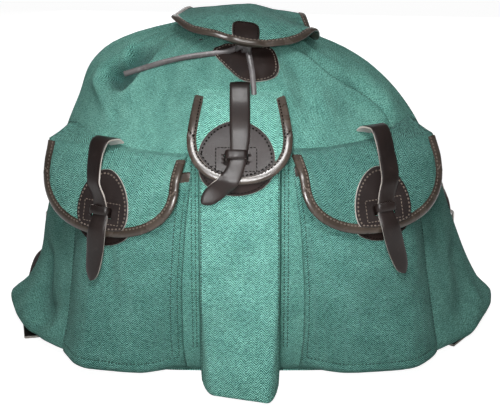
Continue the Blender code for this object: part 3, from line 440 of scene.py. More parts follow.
pleats = np.sin(turns * 2 * math.pi * 19 + 2.2 * np.sin(turns * 23.0))
pleats = pleats + 0.5 * np.sin(turns * 2 * math.pi * 31)
push += (0.0003 + 0.0005 * ease((0.47 - turns) / 0.06)) * gather * pleats
for _ in range(2):
    padded = np.pad(push, 1, mode="edge")
    push = (4 * push + padded[:-2, 1:-1] + padded[2:, 1:-1] + padded[1:-1, :-2] + padded[1:-1, 2:]) / 8
# Painted shading of the wrap: painted shade in the hollows of its folds and dents, and painted light, as values
# below 0, on the upper outer shoulders.
painted_shading = ease((-push - 0.003) / 0.0115) * clear
painted_shoulder_light = 0.5 * ease((np.abs(wrap[..., 0]) - 0.08) / 0.03) * ease((wrap[..., 2] - 0.185) / 0.035)
painted_shading = painted_shading - painted_shoulder_light * (1.0 - ease(painted_shading / 0.3))
wrap = wrap + out * (push * clear)[..., None]


def quads_of(index):
    """Faces between neighbours in a grid of vertex numbers."""
    return np.stack([index[:-1, :-1], index[:-1, 1:], index[1:, 1:], index[1:, :-1]], axis=-1).reshape(-1, 4)


def cloth(name, points, map_across, map_up, painted_shading=0.0):
    """Grid of points made a cloth with its two faces and rim, its weave mapped in metres and its painted
    shading marked: painted shade above 0, painted light below 0."""
    rows, columns = points.shape[:2]
    count = rows * columns
    under = points - facing(points) * CANVAS
    place = np.concatenate([points.reshape(-1, 3), under.reshape(-1, 3)])
    index = np.arange(count).reshape(rows, columns)
    face = quads_of(index)
    rim = np.concatenate([index[0, :-1], index[:-1, -1], index[-1, :0:-1], index[:0:-1, 0]])
    ahead = np.roll(rim, -1)
    edge = np.stack([ahead, rim, rim + count, ahead + count], axis=-1)
    faces = np.concatenate([face, face[:, ::-1] + count, edge])
    mesh = bpy.data.meshes.new(name)
    mesh.from_pydata(place.tolist(), [], faces.tolist())
    spot = np.empty(len(mesh.loops), int)
    mesh.loops.foreach_get("vertex_index", spot)
    flat = np.stack([np.broadcast_to(way, (rows, columns)) for way in (map_across, map_up)], axis=-1)
    flat = flat.reshape(-1, 2)[spot % count]
    mesh.uv_layers.new(name="weave").data.foreach_set("uv", flat.astype(np.float32).ravel())
    mesh.polygons.foreach_set("use_smooth", np.ones(len(mesh.polygons), bool))
    mark = np.tile(np.broadcast_to(painted_shading, (rows, columns)).ravel(), 2)
    mesh.attributes.new("painted_shading", "FLOAT", "POINT").data.foreach_set("value", mark.astype(np.float32))
    mesh.materials.append(canvas)
    obj = bpy.data.objects.new(name, mesh)
    scene.collection.objects.link(obj)
    return obj


def dress(obj, node, body):
    """Show a piece in place of its CAD node, on its body."""
    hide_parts(node)
    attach(obj, body)


def weave_map(points, start=0.0):
    """Place on the weave of each point of a grid: walked across from its middle column, and up."""
    across = walked(points, 1)
    middle = across[:, points.shape[1] // 2][:, None]
    return across - middle + start, walked(points, 0).mean(axis=1, keepdims=True)


wrap_up = walked(wrap, 0).mean(axis=1, keepdims=True)
wrap_across = np.linspace(0.0, 0.74, WRAP_COLUMNS)[None, :]
sack_wrap = cloth("sack_wrap", wrap, wrap_across, wrap_up, painted_shading)
dress(sack_wrap, "front_panel", "sack")

quads = quads_of(np.arange(WRAP_ROWS * WRAP_COLUMNS).reshape(WRAP_ROWS, WRAP_COLUMNS))
sack_tree = BVHTree.FromPolygons(wrap.reshape(-1, 3).tolist(), quads.tolist())


def meet(start, way):
    """Where a line from outside first meets the sack's cloth, and the cloth's normal there."""
    spot, normal, _, _ = sack_tree.ray_cast(Vector(start), Vector(way))
    if spot is None:
        spot, normal, _, _ = sack_tree.find_nearest(Vector(start) + Vector(way) * OUTSIDE)
    return np.array(spot), np.array(normal)


def meet_front(x, z):
    """Where the sack's front stands at x and z, and the cloth's normal there."""
    return meet((x, AHEAD, z), (0.0, 1.0, 0.0))


# Back panel: flat canvas that lies against the wearer's back, one piece sewn to the wrap down both
# sides. It hangs a little slack between its seams.
BACK_ROWS, BACK_COLUMNS = 60, 90
tall = np.linspace(FOOT_Z, RIM_Z, BACK_ROWS)[:, None]
share = np.linspace(-1.0, 1.0, BACK_COLUMNS)[None, :]
wide = np.where(share > 0, left_half(tall), right_half(tall)) * share
panel = np.stack([-wide, np.full_like(wide, BACK_Y), np.broadcast_to(tall, wide.shape)], axis=-1)
slack = 1.4 * crumple(panel, 0.06, 21.0) + 0.5 * crumple(panel, 0.02, 5.0) - 0.9
edge_clear = ease((1.0 - np.abs(share)) / 0.1) * ease((tall - FOOT_Z) / 0.02) * ease((RIM_Z - tall) / 0.05)
panel[..., 1] += np.minimum(0.0014 * slack, 0.0) * edge_clear
back = cloth("back_cloth", panel, -wide, tall)
dress(back, "back_panel", "sack")

# Base: the canvas bottom that the rucksack stands on, one flat piece cut to the outline of the foot, its
# rim sewn to the foot of the wrap and of the back.
BASE_ROWS, BASE_COLUMNS = 40, 121
foot = wrap_row(FOOT_Z, BASE_COLUMNS)
deep = np.linspace(0.0, 1.0, BASE_ROWS)[:, None, None]
middle = np.stack([foot[:, 0], np.full(BASE_COLUMNS, SEAM_Y), np.full(BASE_COLUMNS, FOOT_Z)], axis=1)
bottom = foot[None] * (1.0 - deep) + middle[None] * deep
bottom[..., 2] = 0.0
ground = cloth("base_cloth", bottom[::-1], bottom[..., 0][::-1], bottom[..., 1][::-1])
dress(ground, "base_panel", "sack")

# Leathers: dark bridle leather for straps and patches, its cut edges and flesh side left raw and pale,
# a thinner waxed leather folded round the cloth's edges, and waxed thread sewn through them.
leather_grain, given, result = group_of(
    "leather_grain",
    [("Vector", "NodeSocketVector", None), ("Grain Scale", "NodeSocketFloat", 1400.0)],
    [("Grain", "NodeSocketFloat"), ("Tone", "NodeSocketFloat"), ("Scuff", "NodeSocketFloat")],
)
laid = given.outputs["Vector"]
pores = leather_grain.nodes.new("ShaderNodeTexVoronoi")
leather_grain.links.new(laid, pores.inputs["Vector"])
leather_grain.links.new(given.outputs["Grain Scale"], pores.inputs["Scale"])
fine = speckle(leather_grain, laid, 1500.0, 3.0)
coarse = sum_of(leather_grain, "MULTIPLY", pores.outputs["Distance"], 0.6)
leather_grain.links.new(sum_of(leather_grain, "ADD", coarse, fine), result.inputs["Grain"])
tones = speckle(leather_grain, laid, 45.0, 5.0)
leather_grain.links.new(span(leather_grain, tones, 0.32, 0.7), result.inputs["Tone"])
scuffs = speckle(leather_grain, laid, 160.0, 6.0)
leather_grain.links.new(span(leather_grain, scuffs, 0.56, 0.74), result.inputs["Scuff"])


def leather(name, dark, light, rough, scuff, grain=0.00006, coat=0.0, scale=1800.0, gloss=0.45):
    """Leather from its two tones, its roughness range, how much its scuffs show and its grain."""
    material, tree, shader = principled(name)
    spot = tree.nodes.new("ShaderNodeTexCoord")
    grained = tree.nodes.new("ShaderNodeGroup")
    grained.node_tree = leather_grain
    grained.inputs["Grain Scale"].default_value = scale
    tree.links.new(spot.outputs["Object"], grained.inputs["Vector"])
    tone = mixed(tree, grained.outputs["Tone"], (*dark, 1.0), (*light, 1.0))
    pale = tuple(min(c * 2.4 + 0.03, 1.0) for c in light)
    tone = mixed(tree, sum_of(tree, "MULTIPLY", grained.outputs["Scuff"], scuff), tone, (*pale, 1.0))
    tree.links.new(tone, shader.inputs["Base Color"])
    tree.links.new(span(tree, grained.outputs["Tone"], 0.0, 1.0, *rough), shader.inputs["Roughness"])
    shader.inputs["Specular IOR Level"].default_value = gloss
    shader.inputs["Coat Weight"].default_value = coat
    shader.inputs["Coat Roughness"].default_value = 0.3
    raise_on(tree, shader, grained.outputs["Grain"], grain, 0.6)
    return material


BRIDLE = ((0.0080, 0.0044, 0.0037), (0.0160, 0.0088, 0.0074))
ROUND = ((0.013, 0.0085, 0.0080), (0.021, 0.0145, 0.0136))
RAW = ((0.30, 0.26, 0.23), (0.62, 0.58, 0.54))
FLESH = ((0.42, 0.39, 0.37), (0.66, 0.64, 0.62))
WAXED = ((0.031, 0.022, 0.016), (0.060, 0.044, 0.033))
SPLIT = ((0.040, 0.035, 0.035), (0.125, 0.114, 0.116))
strap_leather = leather("bridle_leather", *BRIDLE, (0.36, 0.44), 0.12, 0.00012, scale=1100.0, gloss=0.40)
shield_leather = leather("matt_leather", *BRIDLE, (0.54, 0.64), 0.12, gloss=0.14)
patch_leather = leather("patch_leather", *ROUND, (0.38, 0.50), 0.12, 0.00022, scale=1000.0, gloss=0.32)
raw_edge = leather("raw_leather_edge", *RAW, (0.8, 0.95), 0.2)
suede = leather("suede_back", *FLESH, (0.9, 1.0), 0.3, 0.0003)
binding_leather = leather("waxed_binding", *WAXED, (0.22, 0.32), 0.2, 0.00006, 0.3)
thong_leather = leather("split_thong", *SPLIT, (0.26, 0.40), 0.35, 0.00015, 0.2)
pale_thread = leather("waxed_thread", (0.10, 0.075, 0.06), (0.20, 0.16, 0.13), (0.5, 0.6), 0.1)
green_thread = leather("green_thread", (0.016, 0.062, 0.050), (0.036, 0.120, 0.096), (0.7, 0.8), 0.05)
SOOT = ((0.003, 0.0025, 0.002), (0.006, 0.005, 0.004))
dark_thread = leather("dark_thread", *SOOT, (0.8, 0.9), 0.0, gloss=0.05)
STRAP_FACES = [strap_leather, raw_edge, suede]


def solid_from(name, points, faces, materials, stuff=None, sharp=38.0):
    """Mesh object whose faces point outwards, with its hard edges kept sharp."""
    mesh = bpy.data.meshes.new(name)
    mesh.from_pydata(np.asarray(points, float).tolist(), [], [tuple(f) for f in faces])
    if stuff is not None:
        mesh.polygons.foreach_set("material_index", np.asarray(stuff, np.int32))
    for material in materials:
        mesh.materials.append(material)
    build = bmesh.new()
    build.from_mesh(mesh)
    bmesh.ops.recalc_face_normals(build, faces=build.faces)
    build.to_mesh(mesh)
    build.free()
    mesh.polygons.foreach_set("use_smooth", np.ones(len(mesh.polygons), bool))
    mesh.set_sharp_from_angle(angle=math.radians(sharp))
    obj = bpy.data.objects.new(name, mesh)
    scene.collection.objects.link(obj)
    return obj


def loft(name, rings, materials, stuff=None, sharp=38.0):
    """Closed section carried along its stations, with both ends capped."""
    rings = np.asarray(rings, float)
    stations, count = rings.shape[:2]
    index = np.arange(stations * count).reshape(stations, count)
    beside = np.roll(index, -1, axis=1)
    sides = np.stack([index[:-1], index[1:], beside[1:], beside[:-1]], axis=-1).reshape(-1, 4).tolist()
    faces = sides + [index[0].tolist(), index[-1][::-1].tolist()]
    if stuff is not None:
        stuff = np.concatenate([np.tile(stuff, stations - 1), [stuff[2], stuff[2]]])
    return solid_from(name, rings.reshape(-1, 3), faces, materials, stuff, sharp)


def unit(vectors):
    """Vectors brought to length 1."""
    return vectors / np.maximum(np.linalg.norm(vectors, axis=-1, keepdims=True), 1e-12)


def read_at(at, run, line):
    """Points of a line at distances along it."""
    return np.stack([np.interp(at, run, line[:, c]) for c in range(line.shape[1])], axis=1)


def smooth_line(points, count):
    """Evenly walked points on a smooth curve through the given ones."""
    points = np.asarray(points, float)
    apart = walked(points[:, :3], 0)
    dense = np.linspace(0.0, apart[-1], count * 8)
    rows = np.column_stack([apart, points])
    line = np.stack([through(rows, c)(dense) for c in range(1, rows.shape[1])], axis=1)
    run = walked(line[:, :3], 0)
    return read_at(np.linspace(0.0, run[-1], count), run, line)


def strip(name, middle, side, width, thick, materials=None, crown=0.0003):
    """Square-cut leather strap along a line: polished face, raw edges and suede back."""
    along = unit(np.gradient(middle, axis=0))
    side = unit(side - along * (side * along).sum(-1, keepdims=True))
    face = unit(np.cross(along, side))
    half = np.broadcast_to(np.asarray(width, float), len(middle)) / 2
    t = thick / 2
    edge = [(0.0030, t), (0.0008, t - 0.0002), (0.0, t - 0.0008), (0.0, 0.0002 - t), (0.0004, -t)]
    section = [(-1, *corner) for corner in edge] + [(1, *corner) for corner in edge[::-1]]
    section.append((0, 0.0, t + crown))
    stuff = [0, 0, 1, 1, 2, 1, 1, 0, 0, 0, 0]
    rings = []
    for sign, inset, high in section:
        reach = sign * (half - np.minimum(inset, half * 0.6))
        rings.append(middle + side * reach[:, None] + face * high)
    return loft(name, np.stack(rings, axis=1), materials or STRAP_FACES, stuff)


def bind(name, edge, inward, off, cover, reach):
    """Leather folded round a cloth's edge: a rounded fold outside, its two lips on the cloth."""
    low, high = CANVAS / 2 + 0.0003, CANVAS / 2 + 0.0008
    section = [
        (1.0, low), (0.96, high - 0.0004), (0.75, high), (0.45, high + 0.0003), (0.2, high + 0.0003),
        (0.0, high), (-0.16, high * 0.72), (-0.25, high * 0.3), (-0.25, -high * 0.3), (-0.16, -high * 0.72),
        (0.0, -high), (0.25, -high - 0.0002), (0.6, -high - 0.0001), (0.94, 0.0002 - high), (1.0, -low),
    ]
    rings = []
    for a, h in section:
        middle = edge + (cover - edge) * a if a > 0 else edge + inward * (a * reach)
        rings.append(middle + off * h)
    return loft(name, np.stack(rings, axis=1), [binding_leather], None, 60.0)


def stitches(line, off, pitch, long, thick, sink=0.3):
    """Points and faces of a row of stitches along a line, each a rounded length of thread."""
    run = walked(line, 0)
    count = max(int(run[-1] / pitch), 1)
    at = (np.arange(count) + 0.5) * run[-1] / count
    middle = read_at(at, run, line)
    along = unit(read_at(at + 0.0004, run, line) - read_at(at - 0.0004, run, line))
    away = unit(read_at(at, run, off))
    side = unit(np.cross(along, away))
    away = np.cross(side, along)
    rings = []
    for place, size, dip in ((-0.5, 0.45, 0.9), (-0.3, 1.0, 0.25), (0.3, 1.0, 0.25), (0.5, 0.45, 0.9)):
        raised = thick * (0.5 - sink - dip * 0.3)
        for turn in 2 * math.pi * np.arange(6) / 6:
            across, up = math.cos(turn) * thick / 2 * size, math.sin(turn) * thick / 2 * size
            rings.append(middle + along * (place * long) + side * across + away * (up + raised))
    faces = []
    for ring in range(3):
        for k in range(6):
            a, b = ring * 6 + k, ring * 6 + (k + 1) % 6
            faces.append((a, b, b + 6, a + 6))
    caps = [tuple(range(5, -1, -1)), tuple(range(18, 24))]
    return np.stack(rings, axis=1), faces + caps


def sewn(name, rows, material, body):
    """One object of all the stitches of a seam."""
    places, faces, start = [], [], 0
    for points, shape in rows:
        for one in points:
            places.append(one)
            faces += [tuple(k + start for k in face) for face in shape]
            start += len(one)
    obj = solid_from(name, np.concatenate(places), faces, [material], None, 80.0)
    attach(obj, body)
    return obj


# Pockets: three canvas pockets sewn on the front, each with a bound mouth, a bound flap hung from a
# fold above it, leather patches, a keeper that comes up through the flap and a strap that goes under it.
STRAP_WIDTH, STRAP_THICK = 0.018, 0.0024
PATCH_THICK, KEEPER_THICK, KEEPER_WIDTH, KEEPER_HALF = 0.0018, 0.0015, 0.0076, 0.0092
# Share of a strap's width at distances from its tip
STRAP_TAPER = [
    (0.0, 0.10), (0.002, 0.40), (0.005, 0.64), (0.010, 0.82), (0.018, 0.92), (0.03, 0.97), (0.06, 1.0),
    (0.3, 1.0),
]
# Cloth covered by a binding, where on that its seam runs, and the pockets' own seams from edge and foot
COVER, LIP_SEAM, EDGE_SEAM, FOOT_SEAM = 0.0068, 0.72, 0.0034, 0.021
# Flap's cloth from the pocket's, round patch from the flap, lower patch from the pocket, room at the fold
FLAP_STAND, FLAP_GAP, PATCH_GAP, FOLD_ROOM = 0.0061, 0.0013, 0.0009, 0.0022
# Columns of a pocket's cloth, and how its rows crowd to its foot
CLOTH_STEP, ROW_POWER = 0.0019, 1.06
# Stitches: pitch, length and, where it is always the same, thickness
CLOTH_STITCH, ROUND_STITCH = (0.0034, 0.0024, 0.0011), (0.0036, 0.0020, 0.0015)
EDGE_STITCH, PATCH_STITCH = (0.0034, 0.0021), (0.0031, 0.0021)
# Each pocket: its place and turn, its own width, foot, fold and slack, painted shading on pocket and flap
# (painted shade above 0, painted light below 0), its flap, its two patches, the course and twist of its
# strap, its creases and how full it is up its height
POCKETS = {
    "left": dict(
        x=-0.114, yaw=-22.0, half=0.055, outer=1.18, bottom=0.0045, fold=0.206, thread=pale_thread,
        foot=0.012, splay=-0.015, sag=0.006, arch=0.0, painted_shading=(0.30, 0.12),
        twist=[(0.0, 0.0), (0.15, 0.2), (0.3, 0.55), (0.5, 0.4), (0.62, 0.0), (0.72, 0.0), (0.85, 0.15),
               (1.0, 0.3)],
        flap_u=-0.0175, flap_half=0.0690, flap_drop=0.066, flap_side=0.022, flare=(-0.09, 0.05),
        patch=0.026, patch_top=1.32, patch_u=-0.016, patch_w=0.1585,
        lower_patch=0.029, lower_drop=0.012, strap_tip=0.097,
        strap_u=[(0.0, -0.0215), (0.1, -0.0245), (0.22, -0.0305), (0.33, -0.0320),
                 (0.54, -0.0195), (0.667, -0.016), (0.8, -0.0175), (1.0, -0.0230)],
        creases=[(-0.013, 0.134, -0.002, 0.084, -0.0026, 0.006), (0.000, 0.126, 0.013, 0.092, 0.0016, 0.007)],
        full=[(0.0045, 0.020), (0.060, 0.017), (0.130, 0.015), (0.180, 0.012), (0.206, 0.006)],
    ),
    "centre": dict(
        x=-0.009, yaw=0.0, half=0.037, outer=1.0, bottom=0.0035, fold=0.257, thread=dark_thread,
        foot=0.008, splay=0.012, sag=0.0, arch=0.0, painted_shading=(-0.20, -0.45),
        twist=[(0.0, 0.0), (1.0, 0.0)],
        flap_u=0.0, flap_half=0.046, flap_drop=0.063, flap_side=0.024, flare=(0.17, 0.17),
        patch=0.034, patch_top=0.82, patch_u=-0.003, patch_w=0.211,
        lower_patch=0.033, lower_drop=0.013, strap_tip=0.177,
        strap_u=[(0.0, 0.000), (0.3, 0.000), (0.54, 0.000),
                 (0.667, -0.002), (0.78, -0.009), (0.89, -0.0195), (1.0, -0.033)],
        creases=[(-0.031, 0.118, 0.016, 0.103, -0.0014, 0.005), (-0.030, 0.127, 0.010, 0.114, 0.0010, 0.006)],
        full=[(0.0035, 0.069), (0.050, 0.041), (0.100, 0.027), (0.150, 0.022), (0.220, 0.018),
              (0.257, 0.006)],
    ),
    "right": dict(
        x=0.107, yaw=22.0, half=0.060, outer=1.18, bottom=0.0045, fold=0.211, thread=pale_thread,
        foot=0.012, splay=0.018, sag=0.006, arch=0.006, painted_shading=(0.32, 0.58),
        twist=[(0.0, 0.0), (0.3, -0.22), (0.5, -0.16), (0.62, 0.0), (0.72, 0.0), (0.85, -0.12), (1.0, -0.25)],
        flap_u=0.0083, flap_half=0.0698, flap_drop=0.066, flap_side=0.022, flare=(0.03, -0.08),
        patch=0.028, patch_top=1.22, patch_u=0.010, patch_w=0.1625,
        lower_patch=0.031, lower_drop=0.011, strap_tip=0.104,
        strap_u=[(0.0, 0.0130), (0.1, 0.0160), (0.22, 0.0215), (0.33, 0.0230),
                 (0.54, 0.0135), (0.667, 0.0102), (0.8, 0.0135), (1.0, 0.0265)],
        creases=[(0.030, 0.118, 0.046, 0.070, -0.0018, 0.007), (-0.030, 0.100, -0.012, 0.060, 0.0014, 0.009)],
        full=[(0.0045, 0.017), (0.060, 0.016), (0.130, 0.015), (0.185, 0.012), (0.211, 0.006)],
    ),
}
UP = np.array((0.0, 0.0, 1.0))


def sack_form(place):
    """Below 0 inside the unwrinkled sack, above 0 outside."""
    x, y, z = place[..., 0], place[..., 1], place[..., 2]
    half = np.where(x < 0, left_half(z), right_half(z))
    deep = np.maximum(SEAM_Y - y, 0.0) / (SEAM_Y - front_y(z))
    return (np.abs(x) / half) ** side_power(z) + deep**FRONT_POWER - 1.0


def stood_off(surface, a, b, high):
    """Point of a surface stood off along its normal, and that normal."""
    step = 0.0012
    right = surface(a + step, b) - surface(a - step, b)
    above = surface(a, b + step) - surface(a, b - step)
    off = unit(np.cross(right, above))
    return surface(a, b) + off * np.asarray(high, float)[..., None], off


class Pocket:
    """One pocket's own frame: u across it, n out of its front, w up."""

    def __init__(self, size):
        turn = math.radians(size["yaw"])
        self.size = size
        self.across = np.array((math.cos(turn), math.sin(turn), 0.0))
        self.out = np.array((math.sin(turn), -math.cos(turn), 0.0))
        middle = (size["bottom"] + size["fold"]) / 2
        half = left_half(middle) if size["x"] < 0 else right_half(middle)
        forward = (1.0 - (abs(size["x"]) / half) ** side_power(middle)) ** (1 / FRONT_POWER)
        self.place = np.array((size["x"], SEAM_Y - forward * (SEAM_Y - front_y(middle)), 0.0))
        self.fold, self.mouth = size["fold"], size["fold"] - 0.014
        tall = np.linspace(0.0, self.fold + 0.03, 200)
        spread = np.linspace(-1.0, 1.0, 13)[:, None]
        crest = self.form(spread * size["half"] * 0.7, tall[None, :]).max(axis=0)
        self.face = through(np.column_stack([tall, crest + through(size["full"])(tall)]).tolist())
        self.fold_out = self.form(spread * size["flap_half"], np.full((1, 1), self.fold)).max() + 0.0025
        reach = np.linspace(-0.085, 0.085, 69)
        top = np.array([self.base(u, self.fold) for u in reach]) + 0.0018
        outer = reach * np.sign(size["x"]) if size["yaw"] else np.zeros_like(reach)
        self.sewn = through(np.column_stack([reach, top]).tolist())
        top = top + 0.85 * np.maximum(self.fold_out - top, 0.0) * ease((outer - 0.012) / 0.055)
        self.top = through(np.column_stack([reach, top]).tolist())

    def at(self, u, n, w):
        """Point in the scene's frame."""
        u, n, w = np.broadcast_arrays(u, n, w)
        return self.place + u[..., None] * self.across + n[..., None] * self.out + w[..., None] * UP

    def form(self, u, w):
        """How far out the unwrinkled sack stands."""
        u, w = np.broadcast_arrays(u, w)
        near, far = np.full(u.shape, OUTSIDE), np.full(u.shape, -0.09)
        for _ in range(32):
            half = (near + far) / 2
            outside = sack_form(self.at(u, half, w)) > 0.0
            near, far = np.where(outside, half, near), np.where(outside, far, half)
        return near

    def base(self, u, w):
        """How far out the sack's cloth stands."""
        spot, _ = meet(self.at(u, OUTSIDE, w), -self.out)
        return float((spot - self.place) @ self.out)

    def bases(self, u, w):
        """The same at every place of a grid."""
        u, w = np.broadcast_arrays(u, w)
        return np.array([self.base(a, b) for a, b in zip(u.ravel(), w.ravel())]).reshape(u.shape)

    def sag(self, u):
        """How far a front falls back towards its sides."""
        return self.size["sag"] * (u / self.size["half"]) ** 2

    def hung(self, u, w):
        """Middle of the flap's cloth."""
        low = np.minimum(w, self.mouth)
        slope = (self.face(low + 0.0015) - self.face(low - 0.0015)) / 0.003
        down = self.face(low) + FLAP_STAND * np.sqrt(1.0 + slope * slope)
        down = down + np.where(w > self.mouth, self.face(w) - self.face(self.mouth), 0.0) - self.sag(u)
        return self.top(u) + (down - self.top(u)) * rise((self.fold - w) / 0.018)

    def flap_low(self, u):
        """Height of the flap's lower edge."""
        size = self.size
        part = np.minimum(np.abs(u - size["flap_u"]) / size["flap_half"], 0.996)
        reach = size["flap_drop"] - size["flap_side"]
        return self.fold - size["flap_side"] - reach * (1.0 - part**2.3) ** (1 / 2.3)

    def flared(self, u, w):
        """Place across the flap, whose sides lean in or out towards its fold."""
        up = 1.0 - np.clip((self.fold - w) / (self.size["flap_drop"] * 0.75), 0.0, 1.0)
        across = u - self.size["flap_u"]
        narrow = np.where(across < 0, *self.size["flare"])
        return self.size["flap_u"] + across * (1.0 - narrow * up**2)

    def on_flap(self, u, w, high=0.0):
        """Point on the flap's cloth stood off along its normal, and that normal."""
        return stood_off(lambda a, b: self.at(a, self.hung(a, b), b), u, w, high)

    def front(self, u, w):
        """How far out the flat of the pocket's front stands."""
        splayed = self.size["splay"] * u / self.size["half"] * np.maximum(1.0 - w / 0.085, 0.0)
        return self.face(w) - self.sag(u) + splayed

    def on_front(self, u, w, high=0.0):
        """Point on the flat of the pocket's front stood off along its normal, and that normal."""
        return stood_off(lambda a, b: self.at(a, self.front(a, b), b), u, w, high)

    def seat(self):
        """Middle of the round patch on the flap, the cloth's normal there and the way up along it."""
        spot, away = self.on_flap(np.array(self.size["patch_u"]), np.array(self.size["patch_w"]))
        return spot, away, unit(UP - away * (UP @ away))


def patch(name, outline, place, face, rings=9, count=64):
    """Leather patch laid on a surface: its face a little domed at the rim, its cut edge raw."""
    turn = 2 * math.pi * np.arange(count) / count
    shares = [k / rings * 0.965 for k in range(1, rings + 1)]
    steps = [(part, PATCH_THICK) for part in shares]
    steps += [(0.99, PATCH_THICK - 0.0002), (1.0, PATCH_THICK - 0.0007), (1.0, 0.0)]
    steps += [(part, 0.0) for part in shares[::-1]]
    top, under = (place(*outline(np.zeros(1), 0.0), np.array([high]))[0] for high in (PATCH_THICK, 0.0))
    around = [place(*outline(turn, part), np.full(count, high))[0] for part, high in steps]
    faces, stuff = [], []
    for k in range(count):
        faces.append((0, 1 + k, 1 + (k + 1) % count))
        stuff.append(0)
    for ring in range(len(steps) - 1):
        a = 1 + ring * count
        for k in range(count):
            b = (k + 1) % count
            faces.append((a + k, a + count + k, a + count + b, a + b))
            stuff.append(1 if ring >= rings else 0)
    last = 1 + (len(steps) - 1) * count
    for k in range(count):
        faces.append((last + (k + 1) % count, last + k, last + count))
        stuff.append(1)
    return solid_from(name, np.concatenate([top, *around, under]), faces, [face, raw_edge], stuff)


def cut_slot(obj, place, axes, size):
    """Cut a slot through a piece, with a box that stands on three axes."""
    corners = np.array([(x, y, z) for x in (-0.5, 0.5) for y in (-0.5, 0.5) for z in (-0.5, 0.5)]) * size
    points = place + corners @ np.stack(axes)
    faces = [(0, 1, 3, 2), (4, 6, 7, 5), (0, 4, 5, 1), (2, 3, 7, 6), (0, 2, 6, 4), (1, 5, 7, 3)]
    cutter = solid_from("slot_punch", points, faces, [])
    punch = obj.modifiers.new("slot", "BOOLEAN")
    punch.operation = "DIFFERENCE"
    punch.solver = "EXACT"
    punch.use_self = len(obj.data.polygons) < 1500
    punch.object = cutter
    bpy.context.view_layer.objects.active = obj
    bpy.ops.object.modifier_apply(modifier="slot")
    bpy.data.objects.remove(cutter, do_unlink=True)


def ring_of(outline, place, part, count=160):
    """Closed line round a patch's face at a share of its size, with the normals there."""
    turn = np.linspace(0.0, 2 * math.pi, count)
    return place(*outline(turn, part), np.full(count, PATCH_THICK))


def sew_on(name, node, body, outline, place, face, thread, part, thick, count=160):
    """Leather patch in place of its CAD node, sewn round at a share of its size."""
    dress(patch(name, outline, place, face), node, body)
    row = stitches(*ring_of(outline, place, part, count), *PATCH_STITCH, thick)
    sewn(name + "_stitching", [row], thread, body)


def pocket_front(side, pocket):
    """Canvas cut full, its edges turned under; returns how to read a line over it, with normals."""
    size, half, bottom, mouth = pocket.size, pocket.size["half"], pocket.size["bottom"], pocket.mouth
    rows, columns = int((mouth - bottom) / 0.0021), int(2 * half / CLOTH_STEP)
    w = bottom + (mouth - bottom) * np.linspace(0.0, 1.0, rows)[:, None] ** ROW_POWER
    u = np.linspace(-half, half, columns)[None, :]
    v = u * np.where(u * size["x"] > 0, size["outer"], 1.0)
    lying = pocket.bases(v, w) + 0.0004
    inside = half - np.abs(u)
    if side == "centre":
        swell = rise(inside / (0.0030 * (1.0 + 4.0 * np.maximum(1.0 - w / 0.10, 0.0))))
    else:
        swell = 0.35 * rise(inside / 0.024) + 0.65 * ease(inside / 0.034)
    swell = swell * rise((w - bottom) / size["foot"])
    stand = lying + np.maximum(pocket.front(v, w) - lying, 0.0) * swell
    flat = pocket.at(v, stand, w)
    slack = 0.0019 * crumple(flat, 0.034, 13.0 + half * 100) + 0.0007 * crumple(flat, 0.012, 4.0)
    hem = ease(inside / 0.012) * ease((w - bottom) / 0.012) * ease((mouth + 0.012 - w) / 0.02)
    stand = stand + slack * hem
    for from_v, from_w, to_v, to_w, high, wide in size["creases"]:
        along_v, along_w = to_v - from_v, to_w - from_w
        t = ((v - from_v) * along_v + (w - from_w) * along_w) / (along_v**2 + along_w**2)
        t = np.clip(t, 0.0, 1.0)
        apart = ((v - from_v - t * along_v) ** 2 + (w - from_w - t * along_w) ** 2) / wide**2
        stand = stand + high * np.exp(-apart) * np.sin(math.pi * (0.12 + 0.76 * t)) * hem
    if side != "centre":
        drawn = np.exp(-(((inside - EDGE_SEAM) / 0.0020) ** 2))
        stand = stand - 0.0009 * drawn * ease((w - 0.018) / 0.01)
        drawn = np.exp(-(((w - FOOT_SEAM) / 0.0024) ** 2))
        stand = stand - 0.0010 * drawn * ease((inside - 0.006) / 0.006)
    grid = pocket.at(v, stand, w)
    # The pocket's cloth takes its painted shading from the table: painted shade on the side pockets, painted
    # light on the centre one.
    front = cloth(side + "_pocket_cloth", grid, *weave_map(grid, size["x"]), size["painted_shading"][0])
    dress(front, side + "_pocket", "sack")
    off = facing(grid)

    def seam(us, ws):
        column = (np.asarray(us) + half) / (2 * half) * (columns - 1)
        up = np.clip((np.asarray(ws) - bottom) / (mouth - bottom), 0.0, 1.0)
        row = up ** (1 / ROW_POWER) * (rows - 1)
        c, r = np.clip(column.astype(int), 0, columns - 2), np.clip(row.astype(int), 0, rows - 2)
        a, b = (column - c)[:, None], (row - r)[:, None]

        def between(values):
            low = values[r, c] * (1 - a) + values[r, c + 1] * a
            high = values[r + 1, c] * (1 - a) + values[r + 1, c + 1] * a
            return low * (1 - b) + high * b

        return between(grid), unit(between(off))

    return seam


def pocket_stitching(side, pocket, seam):
    """Rows of stitches down the pocket's sides and along its foot; the centre pocket's gusset has its own."""
    half, mouth, many = pocket.size["half"], pocket.mouth, 200

    def upright(across, low):
        return np.full(many, across), np.linspace(low, mouth - 0.012, many)

    if side == "centre":
        lines = [upright(hand * (half - 0.0032), 0.012) for hand in (-1, 1)]
    else:
        lines = [upright(hand * (half - EDGE_SEAM), FOOT_SEAM) for hand in (-1, 1)]
        if side == "left":
            lines.append(upright(half - EDGE_SEAM - 0.0045, 0.024))
        lines.append((np.linspace(EDGE_SEAM - half, half - EDGE_SEAM, many), np.full(many, FOOT_SEAM)))
    threads = [stitches(*seam(us, ws), *CLOTH_STITCH) for us, ws in lines]
    if side == "centre":
        for across in (-half - 0.0064, -half - 0.0028, half + 0.0028, half + 0.0064):
            up = np.linspace(0.03, mouth - 0.02, 120)
            spots = [meet(pocket.at(across, OUTSIDE, w), -pocket.out) for w in up]
            line, away = np.array([p for p, _ in spots]), np.array([n for _, n in spots])
            threads.append(stitches(line, away, *CLOTH_STITCH))
    sewn(side + "_pocket_stitching", threads, green_thread, "sack")


